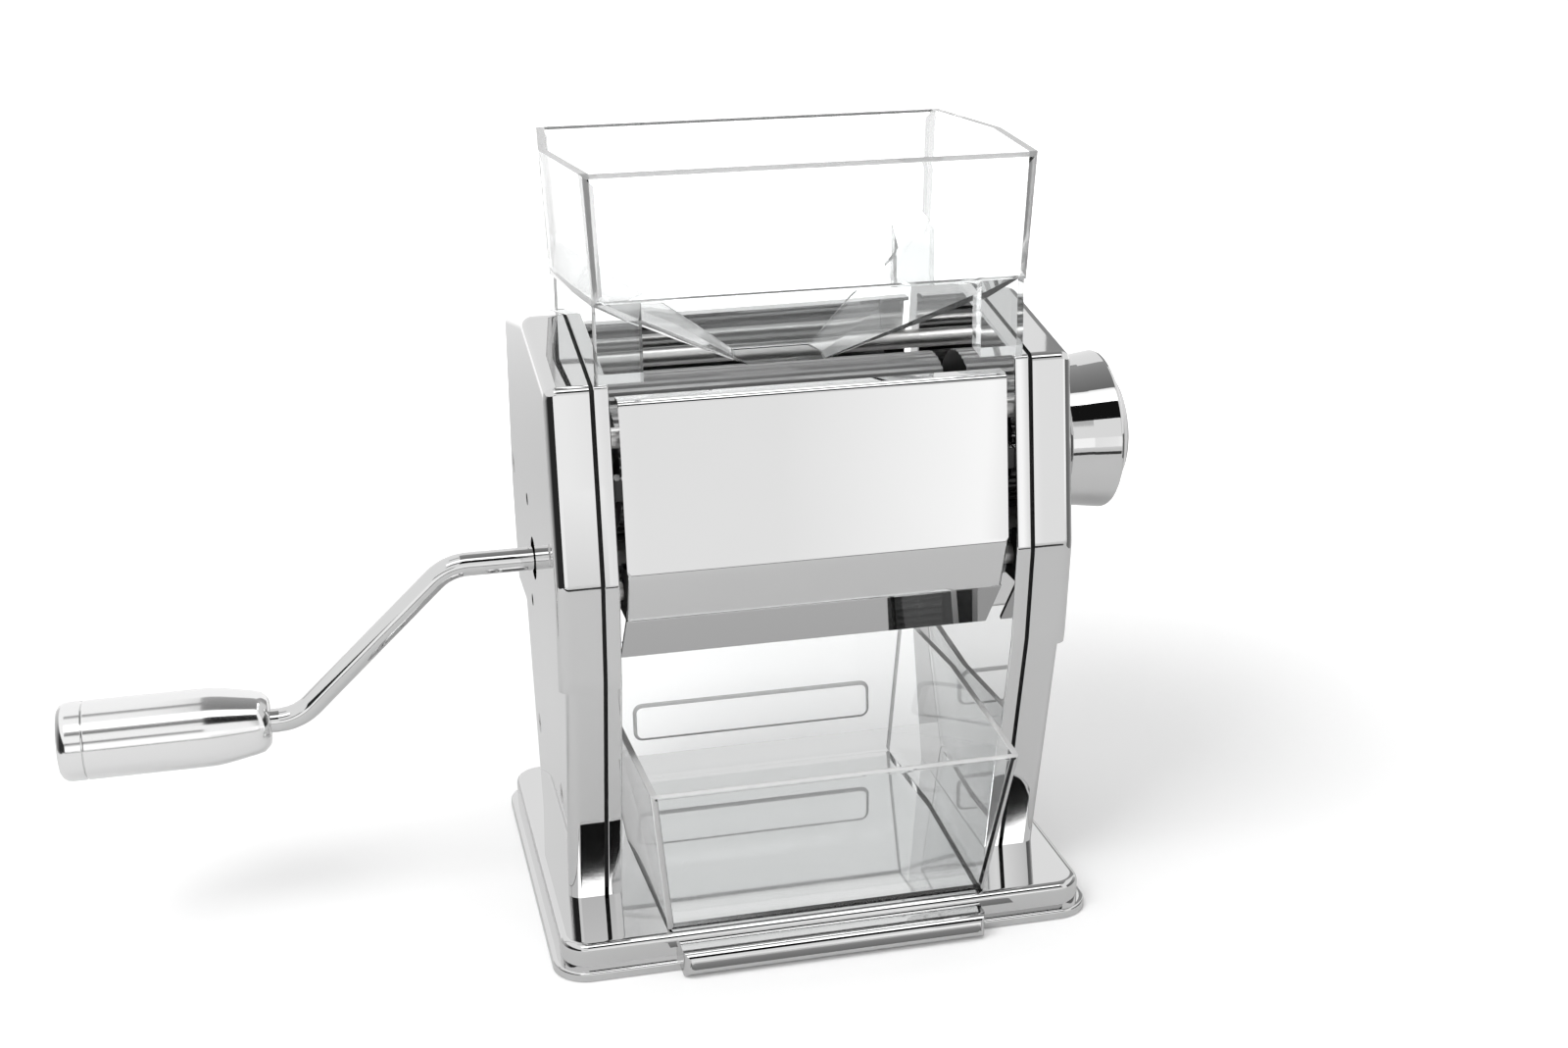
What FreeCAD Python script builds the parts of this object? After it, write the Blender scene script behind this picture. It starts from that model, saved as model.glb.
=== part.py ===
import FreeCAD, Part
import Sketcher
import os
import re

# Hand grain mill: two chromed side shells on a pressed base carry three fluted rollers,
# a clear hopper above and a clear tray below.
# Frame: X across the mill with the knob at +X, Y from front (-) to back (+), Z up,
# origin at the middle of the resting face.

doc = FreeCAD.newDocument("GrainMill")

# Driving dimensions, in millimetres, degrees and counts.
sizes = {
    # overall
    "bodyWidth": 200.0,
    "bodyDepth": 149.0,
    "topHigh": 187.0,
    # side outline, seen along X, from the roller axis and the widest point
    "ridgeUp": 54.0,
    "roofDrop": 12.0,
    "eaveIn": 8.5,
    "kinkDown": 32.0,
    "waistDown": 71.0,
    "waistIn": 4.5,
    "footIn": 29.5,
    # shells and cheeks, across X
    "legStep": 2.5,
    "ledgeDown": 3.5,
    "shellDepth": 16.4,
    "shellWall": 2.5,
    "rimWall": 4.0,
    "shellRound": 5.0,
    "cheekThick": 5.1,
    "landThick": 2.0,
    "landInset": 2.5,
    # base
    "baseMargin": 8.5,
    "baseEdge": 11.5,
    "baseHigh": 14.0,
    "baseWall": 2.0,
    "baseCorner": 14.0,
    "baseTopRound": 3.0,
    "flangeHigh": 4.0,
    "flangeStep": 3.0,
    "floorGap": 0.4,
    "lipShort": 39.5,
    "lipReach": 8.5,
    "lipHigh": 11.0,
    "lipRound": 4.5,
    "padThick": 2.0,
    # front and rear plates
    "plateSide": 3.1,
    "plateThick": 1.5,
    "plateTopDown": 6.2,
    "plateTopOut": 0.5,
    "plateReturn": 8.0,
    "plateKinkUp": 2.5,
    "plateKinkIn": 1.5,
    "plateFoldDown": 19.5,
    "plateFoldIn": 7.0,
    "plateEndDown": 21.5,
    "plateEndIn": 18.0,
    "lugUp": 3.0,
    "lugTall": 8.0,
    "lugDeep": 9.0,
    "lugHold": 6.0,
    # rollers
    "nipBack": -5.0,
    "rollerPitch": 48.0,
    "rollerGap": 0.8,
    "lowerStep": 20.0,
    "rollerSide": 5.0,
    "fluteCount": 40,
    "fluteDeep": 0.8,
    "fluteWide": 2.0,
    "journal": 5.0,
    "driveJournal": 7.5,
    "journalEnd": 4.0,
    "journalProud": 0.4,
    "runGap": 0.05,
    "bushWall": 3.0,
    "socketDeep": 24.0,
    "keyAcross": 8.4,
    "keyGap": 0.1,
    # gears in the left shell
    "gearTeeth": 24,
    "gearSide": 2.4,
    "gearFace": 8.0,
    "toothOut": 1.6,
    "toothIn": 2.2,
    "toothSlope": 0.36,
    "backlash": 0.35,
    "fitGap": 0.02,
    "clipThick": 1.2,
    "clipWide": 2.5,
    # front roller carriage
    "blockHalf": 12.0,
    "blockTall": 26.0,
    "blockGap": 0.1,
    "blockTravel": 1.8,
    "armThick": 4.0,
    "barDown": 31.0,
    "barTall": 6.0,
    "barDeep": 10.0,
    "barForward": 11.0,
    "cupLong": 8.0,
    # knob and spindle
    "camSide": 2.9,
    "camLong": 4.0,
    "camRadius": 8.0,
    "camThrow": 0.75,
    "camRoom": 1.6,
    "spindle": 5.0,
    "ringRadius": 25.0,
    "ringThick": 2.0,
    "knobGap": 3.5,
    "knobRadius": 31.5,
    "knobLong": 26.0,
    "knobEdge": 8.0,
    "knobBevel": 1.0,
    "knobWall": 4.0,
    "knobFace": 22.0,
    "capThick": 1.6,
    "capProud": 0.8,
    "hubRadius": 12.0,
    "springRoom": 9.0,
    "webThick": 4.5,
    "webStart": 4.5,
    "headThick": 2.0,
    "headRadius": 8.0,
    "springWire": 1.0,
    "springTurns": 3.5,
    "pinCircle": 18.0,
    "pinRadius": 1.5,
    "pinRoom": 0.5,
    "knobTurn": 120.0,
    "turnSpare": 10.0,
    # crank and grip
    "rod": 4.7,
    "rodEnter": 2.0,
    "crankOut": 36.0,
    "crankDrop": 58.0,
    "crankSlope": 43.0,
    "crankBend": 20.0,
    "gripOut": 107.0,
    "gripLong": 70.0,
    "gripNeck": 9.0,
    "gripShoulder": 13.2,
    "gripRadius": 15.4,
    "gripTaper": 9.0,
    "gripSwell": 22.0,
    "gripGap": 0.06,
    "gripRecess": 5.0,
    "retainerRadius": 8.5,
    "retainerThick": 2.5,
    "retainerRoom": 0.6,
    "endCapLong": 10.0,
    "endCapWall": 3.5,
    "endCapRound": 4.0,
    # hopper
    "hopperUp": 17.0,
    "hopperTall": 47.0,
    "hopperIn": 10.5,
    "hopperOver": 7.0,
    "hopperBulge": 7.0,
    "hopperDraft": 2.0,
    "hopperWall": 3.0,
    "funnelUpperTall": 20.0,
    "funnelMidIn": 29.5,
    "funnelMidHalf": 36.0,
    "funnelLowerTall": 17.0,
    "funnelEndWide": 16.0,
    "funnelEndHalf": 14.0,
    "funnelBulge": 2.0,
    "funnelWall": 2.5,
    "postBack": 13.0,
    "postWide": 16.5,
    "postDeep": 10.0,
    "postInset": 2.0,
    # tray
    "trayTall": 66.0,
    "trayOut": 22.5,
    "trayIn": 14.5,
    "traySide": 5.0,
    "trayBulge": 3.5,
    "trayLeanFront": 17.0,
    "trayLeanBack": 4.0,
    "trayLeanSide": 7.5,
    "trayWall": 2.5,
    "recessEnd": 17.5,
    "recessUp": 27.0,
    "recessTall": 17.0,
    "recessDeep": 1.2,
    # fasteners and small holes
    "tieIn": 16.5,
    "tieUp": 20.0,
    "tieDown": 39.0,
    "tieRadius": 4.0,
    "tieStud": 2.5,
    "nutThick": 4.0,
    "nutAcross": 8.0,
    "sideScrew": 2.0,
    "sideHead": 4.0,
    "sideHeadThick": 1.6,
    "bossRadius": 5.5,
    "screwIn": 14.5,
    "screwDown": 22.0,
    "screwFootIn": 10.0,
    "screwUp": 42.0,
    "screwGap": 0.1,
    "oilHole": 2.5,
    "oilBack": 12.0,
    "oilUpperDown": 23.0,
    "oilLowerDown": 66.0,
    "crankHole": 8.6,
    "footScrew": 1.6,
    "footScrewIn": 15.0,
    "footScrewLong": 18.0,
    "footHead": 3.0,
    "footHeadThick": 2.4,
}

sheet = doc.addObject("Spreadsheet::Sheet", "Sizes")
for row, (name, value) in enumerate(sizes.items(), start=1):
    sheet.set("A%d" % row, name)
    sheet.set("B%d" % row, str(value))
    sheet.setAlias("B%d" % row, name)
doc.recompute()

# Places and sizes that follow from the driving dimensions, as text for the sheet's expressions.
places = {
    # across X
    "legWidth": "bodyWidth - 2*legStep",
    "shellIn": "bodyWidth/2 - shellDepth",
    "cheekInside": "shellIn - cheekThick - landThick",
    "baseWidth": "bodyWidth + 2*baseMargin",
    "lipWidth": "bodyWidth - 2*lipShort",
    "plateHalf": "cheekInside - plateSide",
    "rollerHalf": "cheekInside - rollerSide",
    "journalLeft": "bodyWidth/2 - journalEnd",
    "journalRight": "shellIn + journalProud",
    "gearStart": "shellIn + gearSide",
    "camStart": "shellIn + camSide",
    "knobStart": "bodyWidth/2 + knobGap",
    "knobEnd": "knobStart + knobLong",
    "webIn": "knobStart + webStart",
    "webOut": "webIn + webThick",
    "headIn": "knobEnd - capThick - 2*headThick",
    "rodStart": "bodyWidth/2 - rodEnter",
    "gripStart": "bodyWidth/2 + gripOut",
    "crankReach": "gripStart + gripLong - gripRecess + retainerRoom",
    "hopperWide": "cheekInside + hopperOver",
    "funnelMidWide": "cheekInside - funnelMidIn",
    "postStart": "cheekInside - postBack",
    "trayWide": "cheekInside - traySide",
    "recessWide": "2*(trayWide - recessEnd)",
    # from front to back
    "kinkHalf": "bodyDepth/2",
    "eaveHalf": "kinkHalf - eaveIn",
    "waistHalf": "kinkHalf - waistIn",
    "footHalf": "kinkHalf - footIn",
    "baseDepth": "bodyDepth + 2*baseEdge",
    "plateTopHalf": "eaveHalf + plateTopOut",
    "plateKinkHalf": "kinkHalf - plateKinkIn",
    "plateFoldHalf": "plateKinkHalf - plateFoldIn",
    "plateEndHalf": "plateFoldHalf - plateEndIn",
    "frontBack": "nipBack - rollerPitch/2",
    "rearBack": "nipBack + rollerPitch/2",
    "lowerBack": "rearBack - lowerStep",
    "hopperHalf": "kinkHalf - hopperIn",
    "trayFront": "kinkHalf + trayOut",
    "trayBack": "kinkHalf - trayIn",
    "tieHalf": "kinkHalf - tieIn",
    "screwUpperHalf": "kinkHalf - screwIn",
    "screwLowerHalf": "footHalf - screwFootIn",
    "footScrewHalf": "footHalf - footScrewIn",
    # upward
    "ridgeHigh": "topHigh + ridgeUp",
    "eaveHigh": "ridgeHigh - roofDrop",
    "roofFall": "roofDrop/eaveHalf",
    "kinkHigh": "topHigh - kinkDown",
    "waistHigh": "topHigh - waistDown",
    "ledgeHigh": "waistHigh - ledgeDown",
    "plateTopHigh": "eaveHigh - plateTopDown",
    "plateKinkHigh": "kinkHigh + plateKinkUp",
    "plateFoldHigh": "plateKinkHigh - plateFoldDown",
    "plateEndHigh": "plateFoldHigh - plateEndDown",
    "lugHigh": "topHigh + lugUp",
    "lowerHigh": "topHigh - sqrt(rollerPitch^2 - lowerStep^2)",
    "rollerRadius": "(rollerPitch - rollerGap)/2",
    "barHigh": "topHigh - barDown",
    "hopperFloor": "ridgeHigh + hopperUp",
    "hopperRim": "hopperFloor + hopperTall",
    "funnelMid": "hopperFloor - funnelUpperTall",
    "funnelEnd": "funnelMid - funnelLowerTall",
    "trayTop": "baseHigh + trayTall",
    "recessHigh": "baseHigh + recessUp",
    "tieUpper": "topHigh + tieUp",
    "tieLower": "topHigh - tieDown",
    "screwUpperHigh": "topHigh - screwDown",
    "screwLowerHigh": "baseHigh + screwUp",
    "oilUpper": "topHigh - oilUpperDown",
    "oilLower": "topHigh - oilLowerDown",
}


def formula(text):
    """The text with every place written out and every size named as a cell of the sheet."""
    def cell(found):
        word = found.group(0)
        if word in places:
            return "(%s)" % formula(places[word])
        return "Sizes." + word if word in sizes else word

    return re.sub(r"[A-Za-z]\w*", cell, text)


def bind(thing, prop, text):
    thing.setExpression(prop, formula(text))


def number(text):
    found = sheet.evalExpression(formula(text))
    return float(getattr(found, "Value", found))


def newBody(label, x="0", y="0", z="0", turn=None):
    """A body whose own origin stands at x, y, z, turned about X where turn is given."""
    body = doc.addObject("PartDesign::Body", label)
    body.Label = label
    if turn:
        aboutX = FreeCAD.Rotation(FreeCAD.Vector(1, 0, 0), 1)
        body.Placement = FreeCAD.Placement(FreeCAD.Vector(), aboutX)
        bind(body, "Placement.Rotation.Angle", turn)
    for prop, text in (("x", x), ("y", y), ("z", z)):
        bind(body, "Placement.Base." + prop, text)
    return body


def newSketch(body, plane, offset="0"):
    """A sketch on one of the body's origin planes, moved along that plane's normal."""
    sketch = body.newObject("Sketcher::SketchObject", body.Label + "_sketch")
    planes = {feature.Role: feature for feature in body.Origin.OriginFeatures}
    sketch.AttachmentSupport = (planes[plane], [""])
    sketch.MapMode = "FlatFace"
    bind(sketch, "AttachmentOffset.Base.z", offset)
    return sketch


def pinPoint(sketch, geo, pos, across, up):
    """Fix one point of a sketch by two expressions."""
    for kind, text in (("DistanceX", across), ("DistanceY", up)):
        index = sketch.addConstraint(Sketcher.Constraint(kind, -1, 1, geo, pos, number(text)))
        sketch.setExpression("Constraints[%d]" % index, formula(text))


def outline(body, plane, corners, offset="0"):
    """A closed outline of straight sides through corners given as expressions."""
    sketch = newSketch(body, plane, offset)
    spots = [FreeCAD.Vector(number(across), number(up), 0) for across, up in corners]
    count = len(spots)
    for i in range(count):
        sketch.addGeometry(Part.LineSegment(spots[i], spots[(i + 1) % count]))
    for i in range(count):
        sketch.addConstraint(Sketcher.Constraint("Coincident", i, 2, (i + 1) % count, 1))
    for i, (across, up) in enumerate(corners):
        pinPoint(sketch, i, 1, across, up)
    return sketch


def circles(body, plane, rounds, offset="0"):
    """Circles given as centre and radius expressions."""
    sketch = newSketch(body, plane, offset)
    for across, up, radius in rounds:
        middle = FreeCAD.Vector(number(across), number(up), 0)
        geo = sketch.addGeometry(Part.Circle(middle, FreeCAD.Vector(0, 0, 1), number(radius)))
        pinPoint(sketch, geo, 3, across, up)
        index = sketch.addConstraint(Sketcher.Constraint("Radius", geo, number(radius)))
        sketch.setExpression("Constraints[%d]" % index, formula(radius))
    return sketch


def roundedBox(body, plane, halfAcross, halfUp, radius, offset="0", middleUp="0"):
    """A rectangle with round corners: four sides joined by four tangent arcs."""
    sketch = newSketch(body, plane, offset)
    a, b, r, m = number(halfAcross), number(halfUp), number(radius), number(middleUp)
    turns = [(1, 1), (-1, 1), (-1, -1), (1, -1)]
    quarter = 1.5707963267948966
    for i, (sx, sy) in enumerate(turns):
        centre = FreeCAD.Vector(sx * (a - r), m + sy * (b - r), 0)
        circle = Part.Circle(centre, FreeCAD.Vector(0, 0, 1), r)
        sketch.addGeometry(Part.ArcOfCircle(circle, i * quarter, (i + 1) * quarter))
    for i in range(4):
        start = sketch.Geometry[i].EndPoint
        end = sketch.Geometry[(i + 1) % 4].StartPoint
        sketch.addGeometry(Part.LineSegment(start, end))
    for i, (sx, sy) in enumerate(turns):
        sketch.addConstraint(Sketcher.Constraint("Tangent", i, 2, 4 + i, 1))
        sketch.addConstraint(Sketcher.Constraint("Tangent", 4 + i, 2, (i + 1) % 4, 1))
        across = "%d*(%s - (%s))" % (sx, halfAcross, radius)
        up = "%s + %d*(%s - (%s))" % (middleUp, sy, halfUp, radius)
        pinPoint(sketch, i, 3, across, up)
        index = sketch.addConstraint(Sketcher.Constraint("Radius", i, r))
        sketch.setExpression("Constraints[%d]" % index, formula(radius))
    return sketch


def pad(body, sketch, length, reverse=False):
    feature = body.newObject("PartDesign::Pad", body.Label + "_pad")
    feature.Profile = sketch
    bind(feature, "Length", length)
    feature.Reversed = reverse
    return feature


def pocket(body, sketch, length, along=False):
    """Cut into the solid against the sketch's normal, or along it."""
    doc.recompute()
    before = body.Shape.Volume
    feature = body.newObject("PartDesign::Pocket", body.Label + "_pocket")
    feature.Profile = sketch
    bind(feature, "Length", length)
    feature.Reversed = along
    doc.recompute()
    if body.Shape.Volume >= before - 1e-6:
        raise RuntimeError(body.Label + ": a pocket cut nothing")
    return feature


def loft(body, kind, lower, upper):
    feature = body.newObject("PartDesign::" + kind, body.Label + "_loft")
    feature.Profile = lower
    feature.Sections = [upper]
    feature.Ruled = True
    return feature


def roundEdges(body, radius, chosen):
    """Round the edges of the body's last feature that the test picks."""
    doc.recompute()
    last = body.Tip
    names = ["Edge%d" % (i + 1) for i, edge in enumerate(last.Shape.Edges) if chosen(edge)]
    feature = body.newObject("PartDesign::Fillet", body.Label + "_edge")
    feature.Base = (last, names)
    bind(feature, "Radius", radius)
    doc.recompute()
    return feature


def turned(label, corners, y="0", z="0", turn=None):
    """A piece turned about X: its outline gives places along X and radii."""
    body = newBody(label, "0", y, z, turn)
    sketch = outline(body, "XY_Plane", corners)
    feature = body.newObject("PartDesign::Revolution", label + "_turn")
    feature.Profile = sketch
    feature.ReferenceAxis = (sketch, ["H_Axis"])
    feature.Angle = 360
    return body


def sleeve(start, end, inner, outer):
    """The turned outline of a plain tube, or of a bar where inner is 0."""
    return [(start, inner), (end, inner), (end, outer), (start, outer)]


def hexagon(across, gap="0"):
    """Six corners of a hexagon, from its size across the flats."""
    reach = "((%s)/2 + %s)/cos(30 deg)" % (across, gap)
    return [("%s*cos(%d deg)" % (reach, 60 * i), "%s*sin(%d deg)" % (reach, 60 * i)) for i in range(6)]


def aroundX(body, feature, count):
    """Repeat a feature round the body's X axis."""
    doc.recompute()
    axes = {part.Role: part for part in body.Origin.OriginFeatures}
    pattern = body.newObject("PartDesign::PolarPattern", body.Label + "_ring")
    pattern.Originals = [feature]
    pattern.Axis = (axes["X_Axis"], [""])
    pattern.Angle = 360
    bind(pattern, "Occurrences", count)
    body.Tip = pattern
    return pattern


def alongX():
    """The placement that lays a piece's own Z axis along X."""
    return FreeCAD.Placement(FreeCAD.Vector(), FreeCAD.Rotation(FreeCAD.Vector(0, 1, 0), 90))


def cylinderX(name, radius, start, long, y, z):
    """A plain cylinder along +X from start."""
    piece = doc.addObject("Part::Cylinder", name)
    piece.Placement = alongX()
    bind(piece, "Radius", radius)
    bind(piece, "Height", long)
    for prop, text in (("x", start), ("y", y), ("z", z)):
        bind(piece, "Placement.Base." + prop, text)
    return piece


def cylinderZ(name, radius, start, long, x, y):
    """A plain cylinder along +Z from start."""
    piece = doc.addObject("Part::Cylinder", name)
    bind(piece, "Radius", radius)
    bind(piece, "Height", long)
    for prop, text in (("x", x), ("y", y), ("z", start)):
        bind(piece, "Placement.Base." + prop, text)
    return piece


def fuse(name, first, second):
    piece = doc.addObject("Part::Fuse", name)
    piece.Base = first
    piece.Tool = second
    return piece


def cut(name, first, second):
    piece = doc.addObject("Part::Cut", name)
    piece.Base = first
    piece.Tool = second
    return piece


def group(label, pieces):
    """Several equal solids that share one node."""
    together = doc.addObject("Part::Compound", label)
    together.Label = label
    together.Links = pieces
    return together


def sideOutline(inset="0", foot="baseHigh"):
    """Half the mill's side outline is drawn from the ridge to the foot, then mirrored."""
    half = [
        ("eaveHalf - " + inset, "eaveHigh - " + inset),
        ("kinkHalf - " + inset, "kinkHigh"),
        ("waistHalf - " + inset, "waistHigh"),
        ("footHalf - " + inset, foot),
    ]
    other = [("-(%s)" % across, up) for across, up in reversed(half)]
    return [("0", "ridgeHigh - " + inset)] + half + other


def parallel(edge, axis):
    direction = edge.tangentAt(edge.FirstParameter)
    return abs(abs(direction.dot(axis)) - 1) < 1e-6


# Base: a stepped pressing, hollow below, with a rounded lip in front of the tray.
def makeBase():
    body = newBody("base_plate")
    flange = roundedBox(body, "XY_Plane", "baseWidth/2", "baseDepth/2", "baseCorner", "floorGap")
    pad(body, flange, "flangeHigh - floorGap")
    inner = ("baseWidth/2 - flangeStep", "baseDepth/2 - flangeStep", "baseCorner - flangeStep")
    upper = roundedBox(body, "XY_Plane", *inner, offset="flangeHigh")
    pad(body, upper, "baseHigh - flangeHigh")
    top = number("baseHigh")
    roundEdges(body, "baseTopRound", lambda e: min(v.Z for v in e.Vertexes) > top - 0.01)
    front = "-(baseDepth/2 + lipReach)"
    back = "-(baseDepth/2 - flangeStep - baseWall/2)"
    lip = [(front, "floorGap"), (back, "floorGap"), (back, "lipHigh"), (front, "lipHigh")]
    pad(body, outline(body, "YZ_Plane", lip, "-lipWidth/2"), "lipWidth")
    reach = number(front)
    roundEdges(body, "lipRound", lambda e: max(v.Y for v in e.Vertexes) < reach + 0.01)
    hollow = ("baseWidth/2 - flangeStep - baseWall", "baseDepth/2 - flangeStep - baseWall")
    room = roundedBox(body, "XY_Plane", *hollow, "baseCorner - flangeStep - baseWall")
    pocket(body, room, "baseHigh - baseWall", along=True)
    spots = [(sx + "(cheekInside + cheekThick/2)", sy + "footScrewHalf", "footScrew + screwGap")
             for sx in ("", "-") for sy in ("", "-")]
    pocket(body, circles(body, "XY_Plane", spots), "baseHigh", along=True)

    rubber = newBody("base_pad")
    pad(rubber, roundedBox(rubber, "XY_Plane", *hollow, "baseCorner - flangeStep - baseWall"), "padThick")


# Cheeks: the plates that carry the rollers, each with a raised land that its shell sits on.
def makeCheek(label, side):
    body = newBody(label)
    left = side < 0
    start = "-cheekInside" if left else "cheekInside"
    pad(body, outline(body, "YZ_Plane", sideOutline(), start), "cheekThick", reverse=left)
    face = "-(cheekInside + cheekThick)" if left else "cheekInside + cheekThick"
    pad(body, outline(body, "YZ_Plane", sideOutline("landInset"), face), "landThick", reverse=left)
    depth = "cheekThick + landThick"
    drive = "driveJournal" if left else "journal"
    holes = [
        ("rearBack", "topHigh", "journal + runGap + bushWall"),
        ("lowerBack", "lowerHigh", drive + " + runGap + bushWall"),
    ]
    for sy in ("", "-"):
        for high in ("tieUpper", "tieLower"):
            holes.append((sy + "tieHalf", high, "tieStud + screwGap"))
        holes.append((sy + "screwUpperHalf", "screwUpperHigh", "sideScrew"))
        holes.append((sy + "screwLowerHalf", "screwLowerHigh", "sideScrew"))
    pocket(body, circles(body, "YZ_Plane", holes, start), depth, along=not left)
    low = "topHigh - blockTall/2 - blockGap"
    high = "topHigh + blockTall/2 + blockGap"
    near = "frontBack - blockHalf - blockTravel"
    far = "frontBack + blockHalf + blockGap"
    window = [(near, low), (far, low), (far, high), (near, high)]
    pocket(body, outline(body, "YZ_Plane", window, start), depth, along=not left)
    middle = start + (" - " if left else " + ") + "cheekThick/2"
    feet = [(middle, sy + "footScrewHalf", "footScrew") for sy in ("", "-")]
    pocket(body, circles(body, "XY_Plane", feet, "baseHigh"), "footScrewLong", along=True)


# Side shells: rounded covers whose upper part stands out over a narrower leg, hollow towards the cheek.
def makeShell(label, side):
    body = newBody(label)
    left = side < 0
    sign = "-" if left else ""
    start = sign + "shellIn"
    across = FreeCAD.Vector(0, 1, 0)
    ledgeHalf = "(footHalf + (waistHalf - footHalf)*(ledgeHigh - baseHigh)/(waistHigh - baseHigh))"
    cover = sideOutline()[:4] + [(ledgeHalf, "ledgeHigh"), ("-" + ledgeHalf, "ledgeHigh")] + sideOutline()[6:]
    for corners, half in ((sideOutline(), "legWidth/2"), (cover, "bodyWidth/2")):
        pad(body, outline(body, "YZ_Plane", corners, start), half + " - shellIn", reverse=left)
        outside = number(half)
        roundEdges(body, "shellRound", lambda e: min(abs(v.X) for v in e.Vertexes) > outside - 0.01
                   and not parallel(e, across))
    upper = [
        ("0", "ridgeHigh - rimWall"),
        ("eaveHalf - rimWall", "eaveHigh - rimWall"),
        ("kinkHalf - rimWall", "kinkHigh"),
        ("waistHalf - rimWall", "waistHigh"),
        ("-(waistHalf - rimWall)", "waistHigh"),
        ("-(kinkHalf - rimWall)", "kinkHigh"),
        ("-(eaveHalf - rimWall)", "eaveHigh - rimWall"),
    ]
    upperDepth = "bodyWidth/2 - shellWall - shellIn"
    pocket(body, outline(body, "YZ_Plane", upper, start), upperDepth, along=not left)
    lower = [
        ("waistHalf - rimWall", "waistHigh"),
        ("footHalf - rimWall", "baseHigh + rimWall"),
        ("-(footHalf - rimWall)", "baseHigh + rimWall"),
        ("-(waistHalf - rimWall)", "waistHigh"),
    ]
    lowerDepth = "legWidth/2 - shellWall - shellIn"
    pocket(body, outline(body, "YZ_Plane", lower, start), lowerDepth, along=not left)
    upperSpots = [(sy + "screwUpperHalf", "screwUpperHigh") for sy in ("", "-")]
    lowerSpots = [(sy + "screwLowerHalf", "screwLowerHigh") for sy in ("", "-")]
    for spots, outer in ((upperSpots, "bodyWidth/2"), (lowerSpots, "legWidth/2")):
        bosses = circles(body, "YZ_Plane", [(y, z, "bossRadius") for y, z in spots], start)
        pad(body, bosses, outer + " - shellWall/2 - shellIn", reverse=left)
        shanks = [(y, z, "sideScrew + screwGap") for y, z in spots]
        pocket(body, circles(body, "YZ_Plane", shanks, start), "bodyWidth/2", along=not left)
        heads = [(y, z, "sideHead + screwGap") for y, z in spots]
        pocket(body, circles(body, "YZ_Plane", heads, sign + outer), "sideHeadThick", along=left)
    wall = sign + "(bodyWidth/2 - shellWall)"
    if left:
        holes = [
            ("lowerBack", "lowerHigh", "crankHole"),
            ("oilBack", "oilUpper", "oilHole"),
            ("oilBack", "oilLower", "oilHole"),
        ]
    else:
        holes = [("frontBack", "topHigh", "spindle + runGap")]
    pocket(body, circles(body, "YZ_Plane", holes, wall), "shellWall", along=not left)


# Front and rear plates: one folded sheet each, held to the cheeks by side lugs.
def makePlate(label, side):
    body = newBody(label)
    sign = "-" if side < 0 else ""
    run = [
        ("plateTopHalf - plateReturn", "plateTopHigh"),
        ("plateTopHalf", "plateTopHigh"),
        ("plateKinkHalf", "plateKinkHigh"),
        ("plateFoldHalf", "plateFoldHigh"),
        ("plateEndHalf", "plateEndHigh"),
    ]
    inside = [
        ("plateEndHalf - plateThick", "plateEndHigh + plateThick"),
        ("plateFoldHalf - plateThick", "plateFoldHigh + plateThick/2"),
        ("plateKinkHalf - plateThick", "plateKinkHigh"),
        ("plateTopHalf - plateThick", "plateTopHigh - plateThick"),
        ("plateTopHalf - plateReturn", "plateTopHigh - plateThick"),
    ]
    section = [(sign + "(%s)" % y, z) for y, z in run + inside]
    pad(body, outline(body, "YZ_Plane", section, "-plateHalf"), "2*plateHalf")
    lean = "(plateKinkHalf - plateTopHalf)/(plateTopHigh - plateKinkHigh)"

    def face(high):
        return "plateKinkHalf - plateThick/2 - %s*(%s - plateKinkHigh)" % (lean, high)

    low, high = "lugHigh - lugTall/2", "lugHigh + lugTall/2"
    lug = [
        (face(low), low),
        (face(high), high),
        (face(high) + " - lugDeep", high),
        (face(low) + " - lugDeep", low),
    ]
    lug = [(sign + "(%s)" % y, z) for y, z in lug]
    lugLong = "cheekInside - plateHalf + lugHold"
    pad(body, outline(body, "YZ_Plane", lug, "cheekInside"), lugLong, reverse=True)
    pad(body, outline(body, "YZ_Plane", lug, "-cheekInside"), lugLong)


# Rollers: fluted barrels with journals; the lower one takes the crank in a hexagonal socket.
def makeRoller(label, y, z, leftJournal):
    corners = [
        ("-journalLeft", "0"),
        ("journalRight", "0"),
        ("journalRight", "journal"),
        ("rollerHalf", "journal"),
        ("rollerHalf", "rollerRadius"),
        ("-rollerHalf", "rollerRadius"),
        ("-rollerHalf", leftJournal),
        ("-journalLeft", leftJournal),
    ]
    body = turned(label, corners, y, z)
    doc.recompute()
    flute = [
        ("rollerRadius - fluteDeep", "0"),
        ("rollerRadius + fluteDeep", "fluteWide"),
        ("rollerRadius + fluteDeep", "-fluteWide"),
    ]
    groove = pocket(body, outline(body, "YZ_Plane", flute, "-rollerHalf"), "2*rollerHalf", along=True)
    aroundX(body, groove, "fluteCount")
    doc.recompute()
    return body


def makeRollers():
    makeRoller("front_roller", "frontBack", "topHigh", "journal")
    makeRoller("rear_roller", "rearBack", "topHigh", "journal")
    lower = makeRoller("lower_roller", "lowerBack", "lowerHigh", "driveJournal")
    socket = outline(lower, "YZ_Plane", hexagon("keyAcross", "keyGap"), "-journalLeft")
    pocket(lower, socket, "socketDeep", along=True)


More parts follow.
